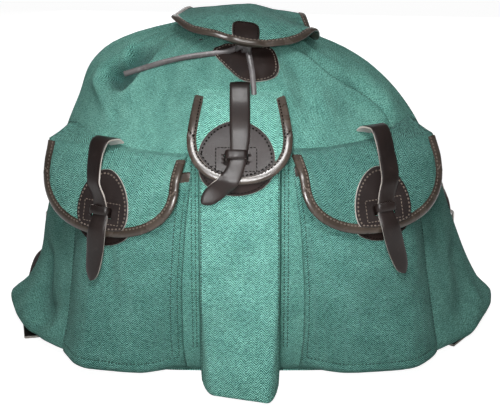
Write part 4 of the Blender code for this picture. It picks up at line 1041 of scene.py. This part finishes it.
def mouth_edging(side, pocket, seam):
    """Leather folded over the pocket's top edge."""
    half, mouth, many = pocket.size["half"], pocket.mouth, 60
    us = np.linspace(0.0015 - half, half - 0.0015, many)
    edge, away = seam(us, np.full(many, mouth))
    lip, _ = seam(us, np.full(many, mouth - COVER))
    inward = unit(lip - edge)
    edge, lip = edge - away * (CANVAS / 2), lip - away * (CANVAS / 2)
    edging = bind(side + "_mouth_edging", edge, inward, away, lip, COVER)
    dress(edging, side + "_mouth_binding", "sack")


def lower_patch(side, pocket):
    """Leather sewn to the pocket's front, under the flap."""
    size = pocket.size
    low = pocket.fold - size["flap_drop"] - size["lower_drop"]
    reach = (size["patch_w"] + 0.012 - low) / 2

    def outline(turn, part):
        across = size["patch_u"] + size["lower_patch"] * part * np.cos(turn)
        return across, low + reach + reach * part * np.sin(turn)

    def on_cloth(us, ws, high):
        return pocket.on_front(us, ws, high + PATCH_GAP)

    name, node = side + "_lower_patch", side + "_pocket_patch"
    sew_on(name, node, "sack", outline, on_cloth, shield_leather, dark_thread, 0.9, 0.0009)


def flap_cloth(side, pocket):
    """Canvas hung from its fold over the pocket's mouth, and carried back to its seam behind the fold."""
    size, fold = pocket.size, pocket.fold
    rows, columns = 46, int(2 * size["flap_half"] / CLOTH_STEP)
    u = size["flap_u"] + np.linspace(-1.0, 1.0, columns)[None, :] * size["flap_half"]
    down = np.linspace(1.0, 0.0, rows)[:, None]
    w = fold + (pocket.flap_low(u) - fold) * down
    u = pocket.flared(u, w)
    hung = pocket.hung(u, w)
    flat = pocket.at(u, hung, w)
    loose = 0.0009 * crumple(flat, 0.03, 31.0) + 0.0004 * crumple(flat, 0.011, 8.0)
    hung = hung + loose * ease(down / 0.25) * ease((1.0 - down) / 0.2)
    back = np.linspace(0.0, 1.0, 9)[1:, None]
    fold_u, top = u[-1:], pocket.top(u[-1:])
    run = top - pocket.sewn(fold_u) + 0.0032
    tucked = pocket.at(fold_u, top + CANVAS / 2 - run * back, fold + np.minimum(0.5 * run, 0.004) * back**2)
    grid = np.concatenate([pocket.at(u, hung + CANVAS / 2, w), tucked])
    # The flap's cloth takes its painted shading from the table: painted shade on the side flaps, painted light
    # on the centre one.
    return cloth(side + "_flap_cloth", grid, *weave_map(grid, size["x"]), size["painted_shading"][1]), grid


def flap_edging(side, pocket):
    """Leather folded round the flap's free edge, and the thread through it."""
    size, fold = pocket.size, pocket.fold
    drop = fold - size["flap_side"] * np.linspace(0.0, 1.0, 26)[:-1]
    low_u = size["flap_u"] + np.sin(np.linspace(-0.5, 0.5, 110) * math.pi) * size["flap_half"]
    edge_u = np.concatenate([np.full(25, low_u[0]), low_u, np.full(25, low_u[-1])])
    edge_w = np.concatenate([drop, pocket.flap_low(low_u), drop[::-1]])
    edge_u = pocket.flared(edge_u, edge_w)
    edge, away = pocket.on_flap(edge_u, np.minimum(edge_w, fold - FOLD_ROOM))
    inward = unit(np.cross(away, unit(np.gradient(edge, axis=0))))
    lip_u = edge_u + COVER * (inward @ pocket.across)
    level = np.maximum(np.sqrt(1.0 - (inward @ pocket.out) ** 2), 0.5)
    lip_w = np.minimum(edge_w + COVER * (inward @ UP) / level, fold - FOLD_ROOM)
    lip, _ = pocket.on_flap(lip_u, lip_w)
    edging = bind(side + "_flap_edging", edge, inward, away, lip, COVER)
    row = edge + (lip - edge) * LIP_SEAM
    threads = stitches(row[4:-4], away[4:-4], *EDGE_STITCH, 0.0012, -1.0)
    return edging, sewn(side + "_flap_stitching", [threads], size["thread"], side + "_flap")


def round_patch(side, pocket, flap):
    """Round leather patch sewn to the flap, with the keeper's slot cut through both."""
    size, patch_u, patch_w = pocket.size, pocket.size["patch_u"], pocket.size["patch_w"]

    def outline(turn, part):
        a = size["patch"] * np.cos(turn)
        b = size["patch"] * np.where(np.sin(turn) > 0, size["patch_top"], 0.93) * np.sin(turn)
        us = patch_u + a
        lean = np.sign(us - size["flap_u"]) * COVER * 0.6
        ws = np.maximum(patch_w + b, pocket.flap_low(us + lean) + COVER * 0.55)
        return patch_u + a * part, patch_w + (ws - patch_w) * part

    def on_loose(us, ws, high):
        return pocket.on_flap(us, ws, high + FLAP_GAP)

    disc = patch(side + "_round_patch", outline, on_loose, patch_leather)
    seat, away, lift = pocket.seat()
    slot = np.array((2 * KEEPER_HALF + KEEPER_THICK + 0.0012, 0.02, KEEPER_WIDTH + 0.0012))
    for piece in (flap, disc):
        cut_slot(piece, seat, (pocket.across, away, lift), slot)
    dress(disc, side + "_flap_patch", side + "_flap")
    rows = [stitches(*ring_of(outline, on_loose, 0.91), *ROUND_STITCH)]
    box = np.array([(-1, -1), (1, -1), (1, 1), (-1, 1), (-1, -1)]) * (0.0178, 0.0088)
    box_u, box_w = (np.interp(np.linspace(0, 4, 90), range(5), box[:, k]) for k in (0, 1))
    square = on_loose(box_u + patch_u, box_w + patch_w, np.full(90, PATCH_THICK))
    rows.append(stitches(*square, *PATCH_STITCH, 0.0009))
    sewn(side + "_round_patch_stitching", rows, size["thread"], side + "_flap")


def keeper(side, pocket):
    """Leather loop sewn to the lower patch, up through the slot and over the strap."""
    seat, away, lift = pocket.seat()
    middle = np.array(pocket.size["patch_u"]), np.array(pocket.size["patch_w"])
    foot, _ = pocket.on_front(*middle, np.array(PATCH_THICK))
    top = float((seat - foot) @ away) + FLAP_GAP + PATCH_THICK + STRAP_THICK + 0.0018 + KEEPER_THICK / 2
    bend = 0.0036
    arch = [(-KEEPER_HALF, 0.0), (-KEEPER_HALF, top * 0.45)]
    for a in np.linspace(0, math.pi / 2, 7):
        arch.append((bend * (1 - math.cos(a)) - KEEPER_HALF, top - bend * (1 - math.sin(a))))
    arch += [(0.0, top + 0.0006)] + [(-a, h) for a, h in reversed(arch)]
    route = smooth_line([foot + pocket.across * a + away * h for a, h in arch], 44)
    loop = strip(side + "_keeper", route, lift, KEEPER_WIDTH, KEEPER_THICK)
    dress(loop, side + "_loop", "sack")


def closure_strap(side, pocket):
    """Strap sewn above the fold, up and over, down through the keeper to its pointed tip."""
    size, fold, patch_w, tip = pocket.size, pocket.fold, pocket.size["patch_w"], pocket.size["strap_tip"]
    lies = FLAP_GAP + PATCH_THICK + 0.0005 + STRAP_THICK / 2

    def over(at_u, at_w, more):
        spot, _ = pocket.on_flap(np.array(at_u), np.array(min(at_w, fold - 0.004)), np.array(lies + more))
        return float((spot - pocket.place) @ pocket.out)

    def rest(at_u, at_w, more):
        spot, _ = pocket.on_front(np.array(at_u), np.array(at_w), np.array(0.0030 + STRAP_THICK / 2 + more))
        return float((spot - pocket.place) @ pocket.out)

    us = through(size["strap_u"])(np.arange(10) / 9)
    root_u, root_w = float(us[0]), fold + 0.0035 + size["arch"]
    root_n = max(pocket.base(root_u + k * 0.0035, root_w) for k in range(-3, 4)) + 0.0004 + STRAP_THICK / 2
    hangs = (patch_w + tip) / 2 - 0.006
    route = [
        (root_n, root_w),
        (root_n + 0.0055, root_w + 0.0058),
        (root_n + 0.0145, root_w + 0.0062),
        (over(us[3], fold - 0.007, 0.0080), fold - 0.0035),
        (over(us[4], fold - 0.021, 0.0052), fold - 0.021),
        (over(us[5], patch_w + 0.013, 0.0018), patch_w + 0.013),
        (over(us[6], patch_w, 0.0003), patch_w),
        (over(us[7], patch_w - 0.013, 0.0022), patch_w - 0.013),
        (rest(us[8], hangs, 0.0044), hangs),
        (rest(us[9], tip, 0.0022), tip),
    ]
    line = smooth_line([pocket.at(u, n, w) for u, (n, w) in zip(us, route)], 84)
    left_over = np.linalg.norm(line[-1] - line, axis=1)
    pinched = np.exp(-((np.linalg.norm(line - pocket.seat()[0], axis=1) / 0.016) ** 2))
    wide = STRAP_WIDTH * through(STRAP_TAPER)(left_over) * (1.0 - 0.18 * pinched)
    turned = through(size["twist"])(np.linspace(0.0, 1.0, len(line)))[:, None]
    across = pocket.across * np.cos(turned) + pocket.out * np.sin(turned)
    strap = strip(side + "_closure_strap", line, across, wide, STRAP_THICK)
    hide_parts(side + "_strap")
    bends = [pocket.at(root_u, root_n + out_by, root_w) for out_by in (0.002, 0.012)]
    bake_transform(strap)


for side, size in POCKETS.items():
    pocket = Pocket(size)
    seam = pocket_front(side, pocket)
    pocket_stitching(side, pocket, seam)
    mouth_edging(side, pocket, seam)
    lower_patch(side, pocket)
    flap, grid = flap_cloth(side, pocket)
    edging, flap_thread = flap_edging(side, pocket)
    round_patch(side, pocket, flap)
    bends = [pocket.at(size["flap_u"], pocket.fold_out, pocket.fold - below) for below in (0.0, 0.014)]
    for piece, node, stuff in ((flap, "_flap", "canvas"), (edging, "_flap_binding", "binding")):
        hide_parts(side + node)
        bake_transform(piece)
    keeper(side, pocket)
    closure_strap(side, pocket)

# Lid: a small canvas flap over the neck, sewn across the top of the back, its free edge bound, with a
# leather tab sewn at the middle of its front.
LID_HALF, LID_TILT, LID_CORNER_ROUND, LID_COVER = 0.069, 0.08, 0.07, 0.0054
LID_SEAM = np.array((-0.004, 0.07545, 0.2985))
LID_PROFILE = [
    (0.000, 0.000), (0.0012, 0.009), (-0.007, 0.0175), (-0.028, 0.0220), (-0.053, 0.0195), (-0.075, 0.0095),
    (-0.086, -0.0010),
]
LID_DROOP = {"left": 0.009, "right": 0.030}
marks = [(float(k), *point) for k, point in enumerate(LID_PROFILE)]
steps = np.linspace(0.0, len(LID_PROFILE) - 1, 120)
lid_y, lid_z = through(marks, 1)(steps), through(marks, 2)(steps)
lid_run = np.concatenate([[0.0], np.cumsum(np.hypot(np.diff(lid_y), np.diff(lid_z)))])
LID_LENGTH = lid_run[-1]


def lid_point(x, arc):
    """Point of the lid's cloth: x from its middle, arc from its seam."""
    x, arc = np.broadcast_arrays(np.asarray(x, float), np.asarray(arc, float))
    across, down = x / LID_HALF, np.clip(arc, 0.0, None) / LID_LENGTH
    y = np.interp(arc, lid_run, lid_y) + 0.010 * across**2 * down**2
    z = np.interp(arc, lid_run, lid_z) - 0.008 * across**2 * down**1.5 - LID_TILT * x * down
    droop = np.where(across > 0, LID_DROOP["right"], LID_DROOP["left"])
    z = z - droop * np.abs(across) ** 1.7 * np.sin(math.pi * np.minimum(down / 0.8, 1.0)) ** 2
    z = z + 0.0062 * np.exp(-(((across + 0.42) / 0.30) ** 2)) * ease((down - 0.5) / 0.45)
    z = z + 0.0022 * np.exp(-(((across - 0.45) / 0.25) ** 2)) * ease((down - 0.5) / 0.45)
    return LID_SEAM + np.stack([x, y, z], axis=-1)


def on_lid(x, arc, high=0.0):
    """Point stood off the lid's cloth along its normal, and that normal."""
    return stood_off(lambda a, b: lid_point(a, -b), x, -arc, high)


def lid_place(c, s):
    """Place across and along the lid from shares of its width and length."""
    front = LID_LENGTH * (1.0 - 0.30 * np.abs(c) ** 3.2)
    half_way = 0.5 * LID_LENGTH
    step = np.clip(2.0 * s - 1.0, 0.0, 1.0)
    arc = np.where(s < 0.5, s * LID_LENGTH, half_way + (front - half_way) * step)
    part = np.minimum(arc / LID_LENGTH / 0.7, 1.0)
    wide = LID_HALF * (0.78 + 0.22 * part * part * (3.0 - 2.0 * part))
    return c * (1.0 - LID_CORNER_ROUND * step**2 * np.abs(c) ** 3) * wide, arc


share = np.sin(np.linspace(-0.5, 0.5, 74) * math.pi)[None, :]
down = np.linspace(1.0, 0.0, 62)[:, None]
lid_x, lid_arc = lid_place(share, down)
grid = on_lid(lid_x, lid_arc, np.full(lid_x.shape, CANVAS / 2))[0]
loose = 0.0012 * crumple(grid, 0.03, 41.0) + 0.0004 * crumple(grid, 0.011, 2.0)
loose = loose * ease(down / 0.15) * ease((1.0 - down) / 0.15) * ease((1.0 - np.abs(share)) / 0.15)
grid = grid + facing(grid) * loose[..., None]
# The lid's cloth is painted darker all over, as painted shade.
lid = cloth("lid_cloth", grid, lid_x, -lid_arc, 0.46)
dress(lid, "lid", "lid")

side = np.linspace(0.0, 1.0, 60)[:-1]
round_c = np.concatenate([np.full(59, -1.0), np.sin(np.linspace(-0.5, 0.5, 120) * math.pi), np.full(59, 1.0)])
round_s = np.concatenate([side, np.ones(120), side[::-1]])
edge_x, edge_arc = lid_place(round_c, round_s)
edge, away = on_lid(edge_x, np.maximum(edge_arc, 0.0015))
inward = unit(np.cross(away, unit(np.gradient(edge, axis=0))))
step = 0.0012
across = unit(lid_point(edge_x + step, edge_arc) - lid_point(edge_x - step, edge_arc))
further = unit(lid_point(edge_x, edge_arc + step) - lid_point(edge_x, np.maximum(edge_arc - step, 0.0)))
lip_x = edge_x + LID_COVER * (inward * across).sum(-1)
lip_arc = np.maximum(edge_arc + LID_COVER * (inward * further).sum(-1), 0.0015)
lip = on_lid(lip_x, lip_arc)[0]
over_tab = np.exp(-((edge_x / 0.0145) ** 6)) * (round_s > 0.99)
lid_edging = bind("lid_edging", edge, inward, away * (1.0 + 1.35 * over_tab)[:, None], lip, LID_COVER)
dress(lid_edging, "lid_binding", "lid")
row = edge + (lip - edge) * LIP_SEAM + away * (0.0021 * over_tab)[:, None]
lid_threads = stitches(row[3:-3], away[3:-3], *EDGE_STITCH, 0.0010, -1.0)
sewn("lid_stitching", [lid_threads], pale_thread, "lid")


def tab_outline(turn, part):
    """Rounded square at the middle of the lid's front edge."""
    c, s = np.cos(turn), np.sin(turn)
    square = (np.abs(c) ** 3 + np.abs(s) ** 3) ** (-1 / 3)
    return 0.0125 * part * square * c, LID_LENGTH - 0.0118 - 0.0118 * part * square * s


def on_lid_face(x, arc, high):
    """Point over the lid's cloth, kept short of its edge, and the normal there."""
    return on_lid(x, np.minimum(arc, LID_LENGTH - 0.0012), high + 0.0012)


sew_on("lid_tab", "lid_patch", "lid", tab_outline, on_lid_face, shield_leather, dark_thread, 0.84, 0.0008)

# Front patch: a leather shield sewn under the neck, where the drawcord comes out over it. Its outline
# is given in mm.
SHIELD = [
    (-33.7, 288.4), (-30.8, 283.2), (-24.4, 278.0), (-16.3, 271.5), (-6.3, 265.6), (4.5, 263.9),
    (16.2, 265.0), (23.5, 268.8), (26.2, 273.4), (25.5, 280.0), (21.0, 288.0), (8.0, 291.5), (-10.0, 292.5),
    (-27.0, 292.0),
]
SHIELD_MIDDLE = np.array((-4.0, 278.5))
spokes = np.array(SHIELD) - SHIELD_MIDDLE
angles = np.unwrap(np.arctan2(spokes[:, 1], spokes[:, 0]))
around = np.concatenate([angles - 2 * math.pi, angles, angles + 2 * math.pi])
shield_radius = through(np.column_stack([around, np.tile(np.hypot(*spokes.T), 3)]))


def shield(turn, part):
    """Outline of the shield in metres."""
    turn = np.asarray(turn, float)
    back = np.mod(turn - angles[0], 2 * math.pi) + angles[0]
    reach = shield_radius(back) * part / 1000.0
    x, z = SHIELD_MIDDLE / 1000.0
    return x + reach * np.cos(turn), z + reach * np.sin(turn)


def on_front(xs, zs, high):
    """Point over the sack's front, stood off forwards and up, and the way it is stood off."""
    spots = [meet_front(x, z) for x, z in zip(np.ravel(xs), np.ravel(zs))]
    off = unit(np.array([n for _, n in spots]) + np.array((0.0, -0.6, 0.4)))
    return np.array([p for p, _ in spots]) + off * (np.ravel(high)[:, None] + 0.0006), off


sew_on("front_shield", "front_patch", "sack", shield, on_front, shield_leather, pale_thread, 0.91, 0.0009)

# Drawcord: a flat thong of split leather drawn round inside the neck and knotted in front. Its two ends
# hang free, the long one out over the left shoulder and the short one down over the front patch.
THONG_WIDTH, THONG_THICK = 0.0050, 0.0019
THONG = [thong_leather] * 3
ACROSS = np.array((1.0, 0.0, 0.0))
# A round cord with the section of the flat thong
NECK_Z, NECK_COUNT = 0.2955, 121
neck = wrap_row(NECK_Z, NECK_COUNT)
below, above = (wrap_row(NECK_Z + off, NECK_COUNT) for off in (-0.001, 0.001))
outward = facing(np.stack([below, neck, above]))[1]
seat = []
for spot, way in zip(neck, outward):
    touch, _ = meet(spot + way * 0.03, -way)
    seat.append(touch - way * (THONG_THICK / 2 + CANVAS + 0.0008))
seat = np.array(seat)
KNOT_X, KNOT_Z, KNOT_OFF = -0.006, 0.2885, 0.0078
spot, way = meet_front(KNOT_X, KNOT_Z)
knot = spot + way * KNOT_OFF
here = int(np.argmin(np.abs(neck[:, 0] - KNOT_X)))
for hand, first, last, way in (("left", 8, here - 6, -1.0), ("right", 103, here + 6, 1.0)):
    index = np.linspace(first, last, 14).astype(int)
    route = list(seat[index])
    end = knot + np.array((way * 0.0045, 0.0015, 0.0030))
    route += [route[-1] * 0.45 + end * 0.55 + np.array((0.0, -0.0015, 0.0010)), end]
    line = smooth_line(route, 60)
    run = strip("drawcord_" + hand + "_neck_run", line, UP * way, THONG_WIDTH, THONG_THICK, THONG)
    dress(run, "drawcord_" + hand + "_run", "sack")

turn = np.linspace(0.0, 2.9 * math.pi, 60)
wrapped = knot + np.stack([
    np.linspace(-0.0042, 0.0042, 60), -0.0046 * np.cos(turn), 0.0046 * np.sin(turn),
], axis=1)
knot_wrap = strip("drawcord_knot_wrap", wrapped, ACROSS, 0.0052, THONG_THICK, THONG)
dress(knot_wrap, "drawcord_knot", "sack")
CROSSING = [
    (-0.0075, -0.0012, -0.0022), (-0.0040, -0.0055, 0.0012), (0.0, -0.0074, 0.0028),
    (0.0044, -0.0058, -0.0006), (0.0052, -0.0022, -0.0058),
]
cross_over = smooth_line([knot + np.array(away) for away in CROSSING], 30)
knot_cross = strip("drawcord_knot_cross", cross_over, np.array((0.3, 0.0, 0.95)), 0.0048, THONG_THICK, THONG)
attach(knot_cross, "sack")

LONG_END = [
    (-0.0140, 0.2888), (-0.0318, 0.2869), (-0.0546, 0.2840), (-0.0776, 0.2791), (-0.0963, 0.2734),
    (-0.1146, 0.2677),
]
SHORT_END = [(0.0005, 0.2795), (0.0018, 0.2735), (0.0027, 0.2660), (0.0034, 0.2590), (0.0036, 0.2550)]


def laid_over(points, lift, free):
    """Line at places x, z over the sack's front, drawn straight across its hollows, its tip free."""
    flat = smooth_line(np.asarray(points, float), 50)
    run = walked(flat, 0)
    deep = np.array([meet_front(x, z)[0][1] for x, z in flat]) - lift
    kept = []
    for k in np.flatnonzero(run <= run[-1] - free):
        while len(kept) > 1:
            a, b = kept[-2], kept[-1]
            if (deep[b] - deep[a]) * (run[k] - run[a]) < (deep[k] - deep[a]) * (run[b] - run[a]):
                break
            kept.pop()
        kept.append(k)
    y = np.interp(run, run[kept], deep[kept])
    last = kept[-1]
    past = run > run[last]
    slope = (y[last] - y[last - 4]) / (run[last] - run[last - 4])
    y[past] = y[last] + slope * (run[past] - run[last])
    y = np.convolve(np.pad(y, 3, mode="edge"), np.ones(7) / 7, mode="valid")
    return np.stack([flat[:, 0], y, flat[:, 1]], axis=1)


# Each tail: its name and node, where it leaves the knot, its places, the way across it, lift and free end
TAILS = [
    ("drawcord_long_tail", "drawcord_long_end", (-0.0050, -0.0010, -0.0006), LONG_END, -UP, 0.0034, 0.030),
    ("drawcord_short_tail", "drawcord_short_end", (0.0036, -0.0012, -0.0045), SHORT_END, ACROSS, 0.0048, 0.0),
]
for name, node, start, ends, side, lift, free in TAILS:
    line = smooth_line([knot + np.array(start)] + list(laid_over(ends, lift, free)[4::5]), 70)
    tail = strip(name, line, side, THONG_WIDTH, THONG_THICK, THONG, 0.0001)
    dress(tail, node, "sack")

# Yoke: a leather plate across the top of the back, sewn on by a row of stitches inside its rim. The
# shoulder straps and the hanging loop are fixed to it.
YOKE_X, YOKE_TOP, YOKE_HEIGHT, YOKE_HALF = -0.004, 0.2925, 0.040, 0.066


def yoke_outline(turn, part):
    """Rounded oblong, narrower at its top."""
    c, s = np.cos(turn), np.sin(turn)
    square = (np.abs(c) ** 5 + np.abs(s) ** 5) ** (-1 / 5) * part
    narrow = 1.0 - 0.12 * (s * square + 1.0) / 2
    return YOKE_X + YOKE_HALF * narrow * square * c, YOKE_TOP - YOKE_HEIGHT / 2 * (1.0 - square * s)


def on_back(xs, zs, high):
    """Point behind the back panel, and the way out."""
    xs = np.ravel(xs)
    place = np.stack([xs, BACK_Y + 0.0004 + np.ravel(high), np.ravel(zs)], axis=-1)
    return place, np.broadcast_to(np.array((0.0, 1.0, 0.0)), place.shape)


sew_on("back_yoke", "yoke", "sack", yoke_outline, on_back, patch_leather, pale_thread, 0.92, 0.0008, 260)

# Hanging loop: a strip of strap leather doubled back on itself, its ends sewn to the middle of the yoke,
# so that it swings on its seam.
HANG_DROP, HANG_DEPTH = 0.040, 0.015
hang = np.array((YOKE_X, BACK_Y + 0.0043, YOKE_TOP - 0.006))
path = [
    (0.0, 0.0), (0.0002, -0.012), (0.0004, -0.024), (0.0022, HANG_DROP * -0.86),
    (HANG_DEPTH * 0.5, -HANG_DROP), (HANG_DEPTH * 0.92, HANG_DROP * -0.84), (HANG_DEPTH * 0.94, -0.022),
    (HANG_DEPTH * 0.66, -0.009), (STRAP_THICK + 0.0004, 0.0012),
]
line = smooth_line([hang + np.array((0.0, y, z)) for y, z in path], 70)
loop = strip("hanging_loop", line, ACROSS, STRAP_WIDTH, STRAP_THICK)
dress(loop, "hang_loop", "hang_loop")

# Shoulder straps: wide leather straps from the yoke, narrowed to go through a wire buckle held by a
# chape on each bottom corner, their tails lying beside the foot.
SHOULDER = [strap_leather, raw_edge, strap_leather]
BUCKLE_X, BUCKLE_HIGH, BAR_Y, BAR_Z = 0.194, 0.024, BACK_Y + 0.0066, 0.078
WIRE, PRONG_WIRE = 0.0015, 0.0015 * 0.75
WIDE, NARROW = 0.034, 0.020
CHAPE_TURN = WIRE + 0.0004 + KEEPER_THICK / 2
GROUND_Z = STRAP_THICK / 2 + 0.0003
TAIL_OUT = {"left": 0.012, "right": -0.004}
TAIL_ENDS = {"left": -0.005, "right": -0.018}
TAIL_BOW = {"left": 0.215, "right": 0.206}

steel, tree, shader = principled("plated_wire")
spot = tree.nodes.new("ShaderNodeTexCoord")
tarnish = span(tree, speckle(tree, spot.outputs["Object"], 240.0, 5.0), 0.35, 0.72)
metal = mixed(tree, tarnish, (0.58, 0.57, 0.55, 1.0), (0.34, 0.32, 0.29, 1.0))
tree.links.new(metal, shader.inputs["Base Color"])
tree.links.new(span(tree, tarnish, 0.0, 1.0, 0.22, 0.45), shader.inputs["Roughness"])
shader.inputs["Metallic"].default_value = 1.0
raise_on(tree, shader, tarnish, 0.00006, 0.5)


def wire_of(name, line, radius, closed=False):
    """Round wire along a line, its ends dressed round."""
    line, count = np.asarray(line, float), 14
    along = np.roll(line, -1, axis=0) - np.roll(line, 1, axis=0) if closed else np.gradient(line, axis=0)
    along = unit(along)
    side = unit(np.cross(along, np.array((0.0, 1.0, 0.0) if closed else (1.0, 0.05, 0.02))))
    over = np.cross(side, along)
    turn = (2 * math.pi * np.arange(count) / count)[None, :, None]
    thin = np.full(len(line), radius)
    if not closed:
        thin[[0, -1]] = radius * 0.45
    spokes = side[:, None] * np.cos(turn) + over[:, None] * np.sin(turn)
    rings = line[:, None] + spokes * thin[:, None, None]
    if not closed:
        return loft(name, rings, [steel], None, 50.0)
    index = np.arange(len(line) * count).reshape(len(line), count)
    ahead, beside = np.roll(index, -1, axis=0), np.roll(index, -1, axis=1)
    faces = np.stack([index, ahead, np.roll(ahead, -1, axis=1), beside], axis=-1).reshape(-1, 4).tolist()
    return solid_from(name, rings.reshape(-1, 3), faces, [steel], None, 60.0)


def buckle_chape(side, x):
    """Leather folded round the buckle's bar, its ends sewn to the back, slotted for the prong."""
    seat_y = BACK_Y + 0.0007 + KEEPER_THICK / 2
    path = [(seat_y, BAR_Z - 0.030), (seat_y, BAR_Z - 0.018), (BAR_Y - CHAPE_TURN, BAR_Z - 0.003)]
    for a in np.linspace(0.0, math.pi, 9):
        path.append((BAR_Y - CHAPE_TURN * math.cos(a), BAR_Z + CHAPE_TURN * math.sin(a)))
    path += [(BAR_Y + CHAPE_TURN, BAR_Z - 0.005), (BAR_Y + CHAPE_TURN - 0.0008, BAR_Z - 0.014)]
    line = smooth_line([np.array((x, y, z)) for y, z in path], 60)
    chape = strip(side + "_buckle_chape", line, ACROSS, NARROW, KEEPER_THICK, STRAP_FACES, 0.0)
    slot = np.array((PRONG_WIRE * 2 + 0.003, 0.016, 0.017))
    cut_slot(chape, np.array((x, BAR_Y, BAR_Z + 0.0035)), np.eye(3), slot)
    dress(chape, side + "_chape", "sack")


def wire_buckle(side, x):
    """Square wire frame with rounded corners."""
    half, corner = NARROW / 2 + 0.0012 + WIRE + 0.001, 0.004
    right, top = half - corner, BUCKLE_HIGH - corner
    ring = []
    for cx, cz, start in ((right, top, 0), (-right, top, 90), (-right, corner, 180), (right, corner, 270)):
        for a in np.radians(start + np.linspace(0.0, 90.0, 8)):
            ring.append((x + cx + corner * math.cos(a), BAR_Y, BAR_Z + cz + corner * math.sin(a)))
    buckle = wire_of(side + "_wire_buckle", ring, WIRE, True)
    dress(buckle, side + "_buckle_frame", "sack")


def wire_prong(side, x):
    """Wire bent round the bar and laid across the frame."""
    eye, pivot = WIRE + 0.0003 + PRONG_WIRE, np.array((x, BAR_Y, BAR_Z))
    bent = []
    for a in np.radians(-30.0 - np.linspace(0.0, 240.0, 22)):
        bent.append(pivot + np.array((0.0, eye * math.cos(a), eye * math.sin(a))))
    tip = pivot + np.array((0.0, WIRE + 0.0004 + PRONG_WIRE, BUCKLE_HIGH + 0.0015))
    bent += [bent[-1] * (1 - t) + tip * t for t in (0.2, 0.4, 0.6, 0.8, 0.96, 1.0)]
    prong = wire_of(side + "_wire_prong", bent, PRONG_WIRE)
    dress(prong, side + "_buckle_prong", side + "_prong")


def shoulder_strap(side, hand, x):
    """Strap from the yoke out and down to its buckle, its tail down to the floor and along the foot."""
    top_x, seat, stand = YOKE_X + hand * 0.043, BACK_Y + 0.0042, 0.044
    under = BAR_Y - WIRE - 0.0010 - STRAP_THICK / 2
    outer = BAR_Y + CHAPE_TURN + KEEPER_THICK / 2 + 0.0010 + STRAP_THICK / 2
    bow, end_y, end_out = hand * TAIL_BOW[side], TAIL_ENDS[side], TAIL_OUT[side]

    def beside(y, away):
        """Place of the tail beside the sack's foot."""
        near, far = 0.30, 0.10
        for _ in range(40):
            half = (near + far) / 2
            outside = sack_form(np.array((hand * half, y, GROUND_Z + STRAP_THICK))) > 0.0
            near, far = (half, far) if outside else (near, half)
        return hand * (near + NARROW / 2 + away)

    route = [
        (top_x, seat, YOKE_TOP - 0.010, WIDE),
        (top_x + hand * 0.001, seat, YOKE_TOP - 0.021, WIDE),
        (top_x + hand * 0.004, seat + 0.004, YOKE_TOP - 0.036, WIDE),
        (top_x + hand * 0.022, BACK_Y + stand * 0.62, 0.225, WIDE),
        (top_x + hand * 0.072, BACK_Y + stand, 0.178, WIDE),
        (x - hand * 0.022, BACK_Y + stand * 0.72, BAR_Z + 0.062, 0.029),
        (x - hand * 0.004, BACK_Y + stand * 0.30, BAR_Z + 0.040, NARROW),
        (x, under, BAR_Z + BUCKLE_HIGH + 0.004, NARROW),
        (x, BAR_Y - 0.0014, BAR_Z + BUCKLE_HIGH * 0.62, NARROW),
        (x, outer, BAR_Z - 0.001, NARROW),
        (x + hand * 0.001, outer + 0.0003, BAR_Z - 0.018, NARROW),
        (bow, BACK_Y + 0.0125, 0.0440, NARROW),
        (bow + hand * 0.010, BACK_Y + 0.0120, 0.0150, NARROW),
        (beside(BACK_Y - 0.004, 0.001), BACK_Y + 0.0075, GROUND_Z + 0.0003, NARROW),
        (beside(BACK_Y - 0.014, 0.001), BACK_Y - 0.014, GROUND_Z, NARROW),
        (beside(end_y + 0.032, end_out * 0.25), end_y + 0.032, GROUND_Z, NARROW),
        (beside(end_y, end_out), end_y, GROUND_Z, NARROW),
    ]
    table = [(float(k), *point) for k, point in enumerate(route)]
    at = np.linspace(0.0, len(route) - 1, 240)
    line = np.stack([through(table, c)(at) for c in (1, 2, 3)], axis=1)
    flat = unit(unit(np.gradient(line, axis=0)) * (1.0, 0.0, 1.0))
    across = np.stack([flat[:, 2], flat[:, 1], -flat[:, 0]], axis=1)
    late = ease((at - 12.2) / 1.2)[:, None]
    across = unit(across * (1.0 - late) - ACROSS * late)
    strap = strip(side + "_shoulder_harness", line, across, through(table, 4)(at), STRAP_THICK, SHOULDER)
    for vertex in strap.data.vertices:
        vertex.co.z = max(vertex.co.z, 0.0003)
    slot = np.array((PRONG_WIRE * 2 + 0.0016, 0.018, 0.0185))
    cut_slot(strap, np.array((x, BAR_Y + 0.0006, BAR_Z + BUCKLE_HIGH * 0.40)), np.eye(3), slot)
    dress(strap, side + "_shoulder_strap", "sack")


for side, hand in (("left", -1.0), ("right", 1.0)):
    buckle_chape(side, hand * BUCKLE_X)
    wire_buckle(side, hand * BUCKLE_X)
    wire_prong(side, hand * BUCKLE_X)
    shoulder_strap(side, hand, hand * BUCKLE_X)

size = {"cad": [list(map(float, c)) for c in cad_box], "visual": [list(map(float, c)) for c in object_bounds()]}
